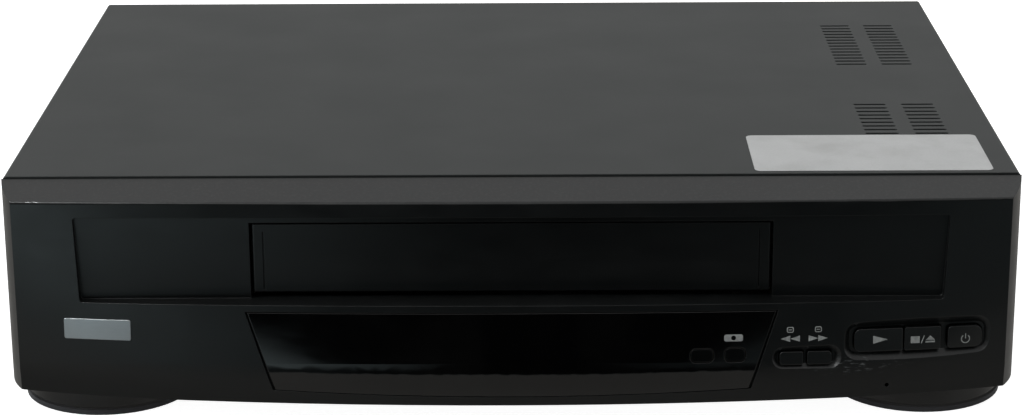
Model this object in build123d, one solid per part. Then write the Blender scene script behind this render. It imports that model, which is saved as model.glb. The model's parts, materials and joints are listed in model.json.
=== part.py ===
from build123d import *
from math import atan2, degrees, hypot, pi
import os

# A video cassette recorder, in millimetres. The origin is on the ground, in the middle of
# the outline seen from above. The front faces -Y and +Z is up.

# ---------------------------------------------------------------- driving dimensions
height = 91.0                 # ground to the top of the cover
foot_height = 12.0            # ground to the underside of the base tray
cover_width = 381.4
cover_depth = 274.3
cover_sheet = 1.0
cover_bend = 1.5              # outer radius of the folded edges
joint_gap = 0.35              # seam between the cover and the front panel
running_gap = 0.05            # radial clearance of every shaft in its bore
slide_gap = 0.1               # each side of a pin in its slot
free_gap = 0.3                # between pieces that pass each other
board_sheet = 1.6

# front panel
panel_flare = 0.3             # the panel stands this far out of each side of the cover
panel_taper = 5.6             # its sides come in by this much towards the front
panel_side_depth = 15.5       # joint to the front corners
panel_wall = 3.0
bow_top = 1.5                 # how far the middle stands forward of the corners, at the top
bow_crease = 14.0             # the same at the crease low on the face
bow_power = 2.6               # flat in the middle, falling away faster towards the corners
bow_knee = 120.0              # the middle arc runs this far each side, then a tighter one
side_bulge = 0.9
crease_rise = 8.5             # lower edge at the corners up to the crease
lean_back = 1.5               # the strip below the crease leans back by this much
crease_round = 38.0           # radius of the soft crease
skirt_overhang = 0.5          # its lower edge at the corners hangs this far below the tray
skirt_arch = 2.0              # the lower edge hangs this much lower in the middle
brow_step = 0.7               # cover top to the panel's top edge at the joint
brow_drop = 5.0               # cover top to the top of the face
brow_round = 1.0

# flat recess across the panel, with the cassette door in it
recess_inset = 29.9           # side of the panel to the lower end of the recess
recess_slant = 1.4            # its upper ends stand this far outwards
recess_top_drop = 11.0
recess_low_drop = 43.4
recess_floor = 14.2           # the recess floor lies this far in front of the joint
recess_corner = 1.2
door_side_gap = 2.6           # each side of a cassette, to the ends of the door
door_top_drop = 14.7
door_low_drop = 41.1
door_sheet = 2.2
door_inset = 0.7
door_gap = 0.8
door_pin_r = 0.9
door_ear = 3.0                # width of the ears that carry its pins
door_boss_r = 2.2
door_rise = 4.7               # the hinge axis above the door's top edge
bracket_wide = 3.0
door_groove_x = 92.3
door_groove = 0.6

# smoked window and badge
window_top_drop = 45.9
window_low_rise = 3.8         # its lower corners above the panel's lower edge
window_arch = 2.3
window_inset = 91.8           # side of the panel to the window's upper corner
window_slant = 10.0           # its lower corners stand this far inwards
window_sheet = 1.8
window_ledge = 3.0
window_gap = 0.35
window_end_gap = 1.0          # the groove beside its slanting ends
badge_inset = (23.5, 49.0)    # from the left side of the panel
badge_drop = (49.6, 57.6)
badge_sheet = 0.6
badge_corner = 0.8

# buttons: name, left and right end in from the right side of the panel, top drop, low drop,
# corner radii left and right
button_plan = {
    "play_button": (63.3, 45.1, 54.0, 62.5, 2.4, 0.7),
    "stop_button": (44.4, 30.7, 53.9, 62.6, 0.7, 0.7),
    "power_button": (28.0, 15.0, 54.3, 62.5, 1.4, 2.8),
    "rewind_button": (91.2, 82.4, 61.8, 66.7, 1.4, 0.7),
    "fast_forward_button": (80.9, 71.8, 61.8, 66.7, 0.7, 1.4),
    "channel_button": (124.4, 116.1, 60.2, 64.9, 1.8, 1.8),
    "record_button": (111.6, 104.2, 60.0, 64.9, 1.8, 1.8),
}
button_gap = 0.35
button_travel = 1.0
button_depth = 7.0
switch_height = 3.5
switch_plunger = 0.5
press_gap = 0.1               # left between a pressed stem and its switch
button_stem = (3.0, 3.0)
# dished hollows round the buttons, measured as the buttons are, with the corner radius last
pod_play = (67.4, 11.4, 50.9, 65.2, 5.0)
pod_wind = (94.4, 68.0, 59.4, 68.6, 4.4)
pod_depth = 1.7
pod_clear = 1.0               # the cutting form starts this far in front of the face
pod_slope = 2.2               # how far the dished wall comes in from face to floor
pin_hole = (50.6, 3.5, 0.8)   # in from the right side, above the lower edge, radius

# cover louvres: two columns of slots in two groups
vent_length = 13.2
vent_width = 1.8
vent_insets = (45.2, 25.8)    # middles of the columns, in from the right side of the cover
vent_count = 14
vent_groups = ((159.3, 5.2), (27.0, 5.25))    # first slot behind the joint, and pitch

# feet
foot_front = 20.1             # centre of the front feet behind the joint
foot_rear = 38.3              # centre of the rear feet in front of the back
foot_r = 31.4
foot_low_r = 32.4
foot_groove = 1.0
pad_r = 32.7
pad_height = 2.0
pad_hole_r = 9.0

# base tray and what stands on it
tray_wall = 2.0
tray_rim = 9.0
tray_gap = 0.2                # between its sides and the cover
tray_vent_start = 20.0        # behind the front of the power board
tray_vent_count = 8
rear_sheet = 1.2
socket_reach = 8.0
post_r = 3.5
board_lift = 6.0              # boards stand this far above the tray floor
screw_r = 1.5
screw_head_r = 3.0
screw_head = 1.3

# cassette and carriage
cassette_width = 188.0
cassette_height = 25.0
cassette_rise = 1.2           # underside of a cassette in the empty holder above the door's edge
cassette_float = 1.0          # clearance of a cassette in its holder
holder_sheet = 1.2
holder_start = 24.5           # front of the empty holder behind the joint
holder_depth = 56.0
holder_ledge = 14.0
cassette_reach = 54.8         # leading edge of a loaded cassette behind the reels
cassette_seat = 6.7           # underside of a loaded cassette above the deck
carriage_sheet = 1.2
carriage_gap = 2.0            # between holder, slider and side frame
carriage_pin_r = 1.5
carriage_pin_pitch = 30.0
carriage_pin_rise = 29.4      # above the underside of a cassette in the empty holder
carriage_rear = 152.0
bridge_wide = 7.0
frame_foot = 9.6              # side frame left solid above the deck
frame_rail = 14.5             # and below the upper pins
pin_inset = 10.0              # first carriage pin behind the front of the holder
holder_pin_rise = 19.9
slider_rise = 6.0             # top of the slider above the holder

# deck
deck_level = 25.0             # underside of the deck plate
deck_sheet = 1.4
deck_margin = 2.8             # beyond the carriage's side frames
deck_front = 24.0             # behind the joint
deck_datum = 273.1            # rear panel forwards to the line that the deck is measured from
deck_rear = 242.0             # behind that line, as all places on the deck are
reel_x = 46.0
reel_y = 92.0
reel_r = 20.0
reel_hub_r = 6.0
reel_hub = 12.0
drum_y = 190.0
drum_r = 31.0
drum_tilt = 5.7
lower_drum_height = 17.0
upper_drum_height = 17.0
drum_gap = 0.4
head_length = 5.0              # each video head, in its slot in the upper drum
head_wide = 2.0
head_height = 1.5
drum_shaft_r = 3.0
drum_rotor_r = 24.0
drum_rotor_height = 6.0
post_pin_r = 1.5
capstan_at = (64.0, 158.0)
capstan_r = 1.5
capstan_rise = 32.0           # its top above the deck
capstan_rotor_r = 24.0
capstan_rotor = 5.0
capstan_pulley_r = 8.0
pulley_rim = 0.4
capstan_tube_r = 4.4
belt_slack = 0.1
clutch_hub_r = 4.0
tooth_depth = 1.2
drum_seat = 5.0               # height of the drum's tilted seat at its middle
drum_foot_half = 36.0
audio_head_at = (56.0, 190.0)
erase_head_at = (-50.0, 176.0)
pinch_pivot = (78.0, 178.0)
pinch_at = (50.0, 168.0)
pinch_r = 8.0
pinch_height = 20.0
clutch_at = (0.0, 118.0)
clutch_pulley_r = 14.0
clutch_gear_r = 8.0
idler_at = (0.0, 97.0)
idler_r = 12.7
belt_size = 1.2
guide_start = (26.0, 138.0)
guide_end = (40.0, 193.0)
guide_post_r = 3.0
guide_rise = 27.0
guide_stem_r = 2.0
cam_at = (78.0, 212.0)
cam_r = 18.0
cam_level = 34.5
cam_height = 6.0
worm_r = 3.5
worm_length = 24.0
worm_shaft_r = 1.0
bracket_sheet = 1.4
motor_r = 10.0
motor_length = 28.0
tension_pivot = (-64.0, 152.0)
tension_pole = (-50.0, 163.0)

# door spring: mean radius of the coil, radius of the wire, and of its two flattened legs
spring_r = 1.6
spring_wire = 0.3
spring_leg_r = 0.24
spring_pitch = 0.5
spring_turns = 5

# boards; y is measured back from the joint
board_side_gap = 3.3                  # tray's side to the boards
board_deck_gap = 6.0                  # deck to the boards
board_rear_gap = 3.1
main_board_front = 12.0
power_board_depth = 175.0
jack_strip_depth = 23.0               # the main board runs on behind the deck by this much
post_inset = 6.0                      # a board's edge to the middle of its post
front_board_ahead = 4.0               # its back face in front of the joint
front_board_left = -140.0
front_board_inset = 8.0               # right side of the panel to the board
front_board_rise = 1.5                # above the tray's floor
front_board_drop = 47.0
display_x = (-34.0, 42.0)
display_drop = (53.0, 69.0)
display_depth = 8.0
ribbon_z = 30.5
ribbon_sheet = 0.7
connector_height = 4.0
connector_depth = 5.0
receiver_x = -58.0
ribbon_x = (-138.0, -123.0)
# chips: from the middle and the front of the main board, then width and depth
chip_plan = ((-2.5, 48, 28, 28), (1.5, 98, 18, 26), (-12.5, 148, 12, 34), (17.5, 158, 20, 10))
chip_height = 3.0
transformer_at = (0.0, 110.0)         # from the middle and the front of the power board
transformer_core = (52.0, 22.0, 42.0)
heatsink_inset = 10.0                 # from the inner edge of the power board
heatsink_middle = 55.0
heatsink_length = 60.0
heatsink_height = 38.0
heatsink_sheet = 3.0
fin_count = 9
fin_sheet = 1.5
fin_reach = 11.0
# capacitors: from the middle and the front of the power board, then radius and height
capacitor_plan = (
    (12.5, 25.0, 9.0, 32.0), (12.5, 47.0, 6.5, 25.0), (-3.5, 30.0, 5.0, 20.0),
    (-3.5, 45.0, 4.0, 14.0), (18.0, 65.0, 6.5, 25.0),
)

# rear sockets
side_screw_z = 18.5
side_screw_front = 49.4               # behind the joint
side_screw_rear = 41.1                # in front of the back
rear_screw_inset = 8.3                # outer ones in from the tray's sides
rear_screw_mid = (-95.0, 5.0, 95.0)
rear_screw_z = 17.5
rear_rim = 5.5
vent_pitch = 5.2
rear_vent_z = 48.0
rear_vent_count = 6
socket_z = 31.0
scart_x = (-62.0, -5.0)
scart_size = (47.0, 15.5)
scart_depth = 16.0
scart_reach = 1.0
audio_x = (38.0, 52.0, 66.0)
audio_r = 4.15
audio_bore_r = 1.6
barrel_collar = 0.6                   # how much wider a socket's barrel is inside the rear panel
aerial_pitch = 24.0
aerial_z = 32.0
tuner_depth = 62.0
tuner_height = 20.0
tuner_margin = 12.0                   # aerial sockets to its sides
aerial_r = 4.75
aerial_bore_r = 1.2
inlet_size = (25.0, 16.0)
inlet_depth = 12.0
inlet_reach = 1.5
inlet_mouth = (17.2, 8.4)
inlet_pin_pitch = 8.6
inlet_pin_r = 1.2
# deck posts: the front pair behind the joint, the others behind the deck's line
deck_post_front = (18.0, 34.0)        # in from the deck's side, and back
deck_post_inset = 6.0
deck_post_rows = (160.0, 234.0)

# ---------------------------------------------------------------- derived places
skirt_z = foot_height - skirt_overhang
skirt_drop = height - skirt_z
crease_drop = skirt_drop - crease_rise
window_low_drop = skirt_drop - window_low_rise
panel_half = cover_width / 2 + panel_flare
recess_half = panel_half - recess_inset
window_top_half = panel_half - window_inset
window_low_half = window_top_half - window_slant
door_half = cassette_width / 2 + door_side_gap
face_half = panel_half - panel_taper
total_depth = panel_side_depth + bow_crease + cover_depth + socket_reach
joint_y = -total_depth / 2 + bow_crease + panel_side_depth
back_y = joint_y + cover_depth
rear_inner = back_y - rear_sheet
floor_z = foot_height + tray_wall
deck_z = deck_level + deck_sheet
board_z = floor_z + board_lift
board_top = board_z + board_sheet
cover_under = height - cover_sheet
inner_half = cover_width / 2 - cover_sheet
floor_y = joint_y - recess_floor
door_y = floor_y + door_inset
door_top = height - door_top_drop
door_low = height - door_low_drop
wall_back = floor_y + panel_wall
door_axis_y = wall_back + door_boss_r + free_gap
door_axis_z = door_top + door_rise
spring_span = spring_turns * spring_pitch + spring_wire
door_pin_end = door_half + spring_span + 3 * free_gap + bracket_wide
cassette_z = door_low + cassette_rise
holder_half = cassette_width / 2 + cassette_float
holder_out = holder_half + holder_sheet
slider_half = holder_out + carriage_gap
slider_top = cassette_z + cassette_height + cassette_float + holder_sheet + slider_rise
carriage_pin_z = cassette_z + carriage_pin_rise
holder_pin_z = cassette_z + holder_pin_rise
load_down = cassette_z - deck_z - cassette_seat
deck_line = rear_inner - deck_datum
pin_slot = carriage_pin_r + slide_gap
reel_top = deck_z + reel_hub
gear_level = deck_z + 2.2
gear_top = gear_level + 4.0
rotor_level = floor_z + 1.8
belt_level = rotor_level + capstan_rotor + pulley_rim
belt_top = belt_level + belt_size + pulley_rim
capstan_top = deck_z + capstan_rise
guide_top = deck_z + guide_rise
frame_half = slider_half + carriage_sheet + free_gap * 2
deck_half = frame_half + carriage_sheet + deck_margin
stop_y = joint_y + holder_start + holder_depth - holder_sheet
load_in = deck_line + reel_y + cassette_reach - stop_y
front_board_y = joint_y - front_board_ahead
far_front = joint_y - 2 * (panel_side_depth + bow_crease)
tray_half = inner_half - tray_gap
foot_x = tray_half - pad_r       # the pads reach out as far as the tray
foot_rows = (joint_y + foot_front, back_y - foot_rear)
board_in = deck_half + board_deck_gap
board_out = tray_half - board_side_gap
board_mid = (board_in + board_out) / 2
board_rear = rear_inner - board_rear_gap
main_board_y = joint_y + main_board_front
power_board_y = board_rear - power_board_depth
jack_strip_y = board_rear - jack_strip_depth
front_board_z = (floor_z + front_board_rise, height - front_board_drop)
display_z = (height - display_drop[1], height - display_drop[0])
inlet_x = board_mid
aerial_x = (-board_mid - aerial_pitch / 2, -board_mid + aerial_pitch / 2)
rear_screw_x = (rear_screw_inset - tray_half, *rear_screw_mid, tray_half - rear_screw_inset)
side_screw_y = (joint_y + side_screw_front, back_y - side_screw_rear)

parts = {}
screws = []


# ---------------------------------------------------------------- shape helpers
def block(x, y, z):
    """A box from the two ends of its x, y and z."""
    centre = Pos((x[0] + x[1]) / 2, (y[0] + y[1]) / 2, (z[0] + z[1]) / 2)
    return centre * Box(abs(x[1] - x[0]), abs(y[1] - y[0]), abs(z[1] - z[0]))


def column(x, y, z0, z1, r):
    """An upright cylinder."""
    return Pos(x, y, (z0 + z1) / 2) * Cylinder(r, z1 - z0)


def bar_x(x0, x1, y, z, r):
    """A cylinder along X."""
    return Pos((x0 + x1) / 2, y, z) * Rot(0, 90, 0) * Cylinder(r, abs(x1 - x0))


def bar_y(x, y0, y1, z, r):
    """A cylinder along Y."""
    return Pos(x, (y0 + y1) / 2, z) * Rot(90, 0, 0) * Cylinder(r, abs(y1 - y0))


def at(place):
    """A place on the deck, measured back from the deck's line, in the part's own frame."""
    return place[0], deck_line + place[1]


def ring(x, y, z0, z1, r, bore):
    return column(x, y, z0, z1, r) - column(x, y, z0 - 1, z1 + 1, bore)


def turned(points):
    """A turned solid: the points are radius and height, round the Z axis."""
    profile = Polyline(*[(r, 0, z) for r, z in points], close=True)
    return revolve(make_face(profile), Axis.Z, 360)


def group(shapes):
    """Separate solids that share one node."""
    solids = []
    for shape in shapes:
        solids.extend(shape.solids())
    return Compound(children=solids)


def rounded_outline(x, drop, radii):
    """A face in the XZ plane, with its own corner radius at the left and at the right."""
    left, right = radii
    z0 = height - drop[1]
    z1 = height - drop[0]
    line = Polyline(
        (x[0] + left, z1), (x[1] - right, z1),
    ) + JernArc((x[1] - right, z1), (1, 0), right, -90)
    line += Line((x[1], z1 - right), (x[1], z0 + right))
    line += JernArc((x[1], z0 + right), (0, -1), right, -90)
    line += Line((x[1] - right, z0), (x[0] + left, z0))
    line += JernArc((x[0] + left, z0), (-1, 0), left, -90)
    line += Line((x[0], z0 + left), (x[0], z1 - left))
    line += JernArc((x[0], z1 - left), (0, 1), left, -90)
    return make_face(line)


def prism_y(face, y0, y1):
    """A face drawn in x and z, carried along Y from y0 to y1."""
    placed = Plane.XZ * face
    return Pos(0, y0, 0) * extrude(placed, y1 - y0, dir=(0, 1, 0))


# ---------------------------------------------------------------- front panel
def bow_at(drop):
    """How far the middle of the face stands forward at this drop below the cover's top."""
    share = (drop - brow_drop) / (crease_drop - brow_drop)
    return bow_top + (bow_crease - bow_top) * share


def face_y(x, drop):
    """Y of the panel's face."""
    bow = bow_at(min(drop, crease_drop))
    lean = lean_back * max(0.0, drop - crease_drop) / (skirt_drop + skirt_arch - crease_drop)
    curve = 1 - (abs(x) / face_half) ** bow_power
    return joint_y - panel_side_depth - bow * curve + lean


def panel_section(drop, inset, back):
    """The panel seen from above at one level, drawn in by the inset."""
    half = face_half - inset
    wide = panel_half - inset
    y_end = face_y(half, drop) + inset
    y_knee = face_y(bow_knee, drop) + inset
    middle = ThreePointArc(
        (-bow_knee, y_knee), (0, face_y(0, drop) + inset), (bow_knee, y_knee))
    shoulder = TangentArc((bow_knee, y_knee), (half, y_end), tangent=middle % 1)
    bulge = ((wide + half) / 2 + side_bulge, (y_end + joint_y) / 2)
    side = ThreePointArc((half, y_end), bulge, (wide, joint_y))
    if back > joint_y:
        rear = Polyline((wide, joint_y), (wide, back), (-wide, back), (-wide, joint_y))
    else:
        rear = Line((wide, joint_y), (-wide, joint_y))
    ends = [shoulder, side, mirror(shoulder, about=Plane.YZ), mirror(side, about=Plane.YZ)]
    return Pos(0, 0, height - drop) * make_face(Curve() + [middle, rear] + ends)


def panel_form(inset, back, top_drop, low_drop):
    """The full form of the panel, closed at the back at the given y."""
    sections = [panel_section(drop, inset, back) for drop in (low_drop, crease_drop, top_drop)]
    return loft(sections, ruled=True)


def brow_cut():
    """What is taken off above the sloping top band."""
    front = joint_y - panel_side_depth
    fall = (brow_drop - brow_step) / panel_side_depth
    far = front - bow_crease - 10
    low = height - brow_step - fall * (joint_y - far)
    side = Polyline(
        (joint_y + 5, height + 5), (joint_y + 5, height - brow_step),
        (joint_y, height - brow_step), (far, low), (far, height + 5), close=True,
    )
    sheet = Plane.YZ * make_face(side)
    return Pos(-panel_half - 5, 0, 0) * extrude(sheet, 2 * panel_half + 10, dir=(1, 0, 0))


def skirt_cut():
    """What is taken off below the arched lower edge."""
    wide = panel_half + 5
    low = skirt_z - skirt_arch
    arc = ThreePointArc((-wide, skirt_z), (0, low), (wide, skirt_z))
    box = Polyline((wide, skirt_z), (wide, low - 20), (-wide, low - 20), (-wide, skirt_z))
    return prism_y(make_face(arc + box), far_front, joint_y + 10)


def window_outline(inset, end_inset):
    """The window in x and z: straight top, slanting ends, arched lower edge."""
    top = height - window_top_drop - inset
    low = height - window_low_drop + inset
    half_top = window_top_half - end_inset
    half_low = window_low_half - end_inset
    arc = ThreePointArc((-half_low, low), (0, low - window_arch), (half_low, low))
    rest = Polyline((half_low, low), (half_top, top), (-half_top, top), (-half_low, low))
    return make_face(arc + rest)


def skin(outer, start, end):
    """The layer of the panel's form between two depths behind its face."""
    return Pos(0, start, 0) * outer - Pos(0, end, 0) * outer


def button_face(name, grow):
    from_right, to_right, top, low, left, right = button_plan[name]
    x = (panel_half - from_right - grow, panel_half - to_right + grow)
    return rounded_outline(x, (top - grow, low + grow), (left + grow, right + grow))


def recess_face():
    """The recess in x and z, with ends that slant outwards towards its top."""
    low = height - recess_low_drop
    top = height - recess_top_drop
    half = recess_half + recess_slant
    line = Polyline((-recess_half, low), (recess_half, low), (half, top), (-half, top), close=True)
    face = make_face(line)
    return fillet(face.vertices(), recess_corner)


def pod_outline(pod, face, grow):
    """The hollow's outline drawn on a plane that touches the panel's face at its middle."""
    from_right, to_right, top, low, corner = pod
    wide = from_right - to_right + 2 * grow
    tall = low - top + 2 * grow
    return face * RectangleRounded(wide, tall, corner + grow)


def pod_form(pod):
    """A hollow with a dished wall all round, sunk square to the panel's face."""
    from_right, to_right, top, low = pod[:4]
    left, right = panel_half - from_right, panel_half - to_right
    x, drop = (left + right) / 2, (top + low) / 2
    along = Vector(right - left, face_y(right, drop) - face_y(left, drop), 0)
    upward = Vector(0, face_y(x, top) - face_y(x, low), low - top)
    # the plane's middle lies half-way between the bowed face and its chord
    middle = (face_y(left, drop) + 2 * face_y(x, drop) + face_y(right, drop)) / 4
    face = Plane((x, middle, height - drop), x_dir=along, z_dir=along.cross(upward))
    mouth = pod_outline(pod, face.offset(pod_clear), pod_clear * pod_slope / pod_depth)
    floor = pod_outline(pod, face.offset(-pod_depth), -pod_slope)
    return loft([mouth, floor], ruled=True)


def make_panel():
    """Front panel, with window, badge and buttons that follow its face."""
    low = skirt_drop + skirt_arch
    outer = panel_form(0, joint_y, brow_step, low)
    outer = outer - brow_cut() - skirt_cut()
    level = height - brow_drop
    crease_z = height - crease_drop
    crease = outer.edges().filter_by_position(Axis.Z, crease_z - 0.1, crease_z + 0.1)
    crease = [edge for edge in crease if edge.center().Y < joint_y - 0.8 * panel_side_depth]
    outer = fillet(crease, crease_round)
    top_edges = outer.edges().filter_by_position(Axis.Z, level - bow_top, level + 0.5)
    front = [edge for edge in top_edges if edge.center().Y < joint_y - 0.8 * panel_side_depth]
    outer = fillet(front, brow_round)
    hollow = panel_form(panel_wall, joint_y + 1, brow_step + panel_wall, low + 5)
    shelf_low = height - recess_low_drop - panel_wall
    shelf = block(
        (-recess_half - panel_wall, recess_half + panel_wall),
        (far_front, floor_y + panel_wall),
        (shelf_low, height))
    floor_keep = block(
        (-panel_half, panel_half), (far_front, joint_y + 5), (0, skirt_z + panel_wall))
    shell = outer - (hollow - shelf - floor_keep - brow_shell())
    shell -= prism_y(recess_face(), far_front, floor_y)
    shell -= block(
        (-door_half - door_gap, door_half + door_gap), (floor_y - 1, joint_y + 2),
        (height - recess_low_drop, door_top + door_gap))
    shell += door_brackets()
    window_cut = prism_y(window_outline(0, 0), far_front, joint_y)
    shell -= window_cut & skin(outer, -0.5, window_sheet)
    shell -= prism_y(window_outline(window_ledge, window_ledge), far_front, joint_y)
    for pod in (pod_play, pod_wind):
        shell -= pod_form(pod)
    for name in button_plan:
        shell -= prism_y(button_face(name, button_gap), far_front, joint_y)
    badge_x = (badge_inset[0] - panel_half, badge_inset[1] - panel_half)
    badge = rounded_outline(badge_x, badge_drop, (badge_corner, badge_corner))
    shell -= prism_y(badge, far_front, joint_y) & skin(outer, -0.5, badge_sheet)
    for side in (-1, 1):
        shell -= column(side * foot_x, joint_y + foot_front, 0, foot_height + free_gap,
                        foot_low_r + free_gap)
    hole_inset, hole_rise, hole_r = pin_hole
    shell -= bar_y(panel_half - hole_inset, far_front, joint_y, skirt_z + hole_rise, hole_r)
    parts["front_panel"] = shell
    window = prism_y(window_outline(window_gap, window_end_gap), far_front, joint_y)
    window &= skin(outer, 0, window_sheet)
    for name in ("channel_button", "record_button"):
        window -= prism_y(button_face(name, button_gap), far_front, joint_y)
    parts["display_window"] = window
    plate = rounded_outline(
        (badge_x[0] + slide_gap, badge_x[1] - slide_gap),
        (badge_drop[0] + slide_gap, badge_drop[1] - slide_gap),
        (badge_corner - slide_gap, badge_corner - slide_gap))
    parts["badge_plate"] = prism_y(plate, far_front, joint_y) & skin(outer, -0.2, badge_sheet)
    make_buttons(outer)


def brow_shell():
    """The panel's top wall, which follows the sloping band."""
    return Pos(0, 0, -panel_wall) * brow_cut()


def make_buttons(outer):
    """Each cap follows the panel's face and pushes a switch on the front board."""
    switches = []
    for name in button_plan:
        from_right, to_right, top, low = button_plan[name][:4]
        cap = prism_y(button_face(name, 0), far_front, joint_y) & skin(outer, 0, button_depth)
        x = panel_half - (from_right + to_right) / 2
        z = height - (top + low) / 2
        wide, tall = button_stem
        tip = front_board_y - switch_height - switch_plunger
        stem_end = tip - press_gap - button_travel
        stem = block(
            (x - wide / 2, x + wide / 2),
            (face_y(x, (top + low) / 2) + button_depth - 2.5, stem_end),
            (z - tall / 2, z + tall / 2))
        parts[name] = cap + stem
        case = block((x - 3, x + 3), (front_board_y - switch_height, front_board_y),
                     (z - 3, z + 3))
        switches.append(case + bar_y(x, tip, front_board_y - switch_height, z, 1.5))
    parts["tact_switches"] = group(switches)


# ---------------------------------------------------------------- enclosure
def make_cover():
    """Folded steel cover with louvre slots in its top."""
    low = foot_height + joint_gap
    outer = block((-cover_width / 2, cover_width / 2), (joint_y + joint_gap, back_y), (low, height))
    folds = outer.edges().filter_by(Axis.Y).group_by(Axis.Z)[-1]
    outer = fillet(folds, cover_bend)
    inner = block((-inner_half, inner_half), (joint_y - 1, back_y + 1), (0, cover_under))
    folds = inner.edges().filter_by(Axis.Y).group_by(Axis.Z)[-1]
    inner = fillet(folds, cover_bend - cover_sheet)
    shell = outer - inner
    slots = []
    for first, pitch in vent_groups:
        for inset in vent_insets:
            for step in range(vent_count):
                spot = Pos(cover_width / 2 - inset, joint_y + first + step * pitch, cover_under - 1)
                slots.append(spot * extrude(SlotOverall(vent_length, vent_width), cover_sheet + 2))
    shell -= slots
    for side in (-1, 1):
        for y in side_screw_y:
            shell -= bar_x(side * (inner_half - 1), side * (cover_width / 2 + 1), y, side_screw_z,
                           screw_r + slide_gap)
    parts["top_cover"] = shell
    for side in (-1, 1):
        for y in side_screw_y:
            out = side * cover_width / 2
            head = bar_x(out, out + side * screw_head, y, side_screw_z, screw_head_r)
            slot = block((out + side * (screw_head - 0.6) - 1, out + side * (screw_head - 0.6) + 1),
                         (y - 2, y + 2), (side_screw_z - 0.3, side_screw_z + 0.3))
            slot = Pos(side * 1.0, 0, 0) * slot
            shank = bar_x(out, side * (tray_half - tray_wall - 2), y, side_screw_z, screw_r)
            screws.append(head - slot + shank)


def foot_places():
    """The centres of each pair of feet."""
    names = ("front_feet", "rear_feet")
    return {name: [(-foot_x, y), (foot_x, y)] for name, y in zip(names, foot_rows)}


def make_feet():
    """Round tapered feet, each with a thin pad below a groove and a screw up its middle."""
    neck = pad_r - 2
    form = turned([
        (screw_r + slide_gap, foot_height), (foot_r, foot_height),
        (foot_low_r, pad_height + foot_groove), (neck, pad_height + foot_groove),
        (neck, pad_height), (pad_hole_r, pad_height),
        (pad_hole_r, foot_height / 2), (screw_r + slide_gap, foot_height / 2)])
    pads = []
    for name, places in foot_places().items():
        parts[name] = group([Pos(x, y, 0) * form for x, y in places])
        for x, y in places:
            pads.append(ring(x, y, 0, pad_height, pad_r, pad_hole_r))
            head = column(x, y, foot_height / 2 - screw_head, foot_height / 2, screw_head_r)
            screws.append(head + column(x, y, foot_height / 2, floor_z, screw_r))
    parts["foot_pads"] = group(pads)


def board_posts():
    """Where the boards stand on the tray: x, y."""
    outer = board_out - post_inset
    inner = board_in + post_inset
    front = main_board_y + post_inset
    rear = board_rear - post_inset
    places = [(-outer, front), (-inner, front), (-outer, rear)]
    places.append((deck_half - post_inset, jack_strip_y + post_inset))
    for x in (inner, outer):
        places.extend([(x, power_board_y + post_inset), (x, rear)])
    return places


def deck_posts():
    """Where the deck plate stands on the tray: x, y."""
    inset, back = deck_post_front
    places = [(deck_half - inset, joint_y + back)]
    places += [(deck_half - deck_post_inset, deck_line + row) for row in deck_post_rows]
    return [(side * x, y) for x, y in places for side in (-1, 1)]


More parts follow.
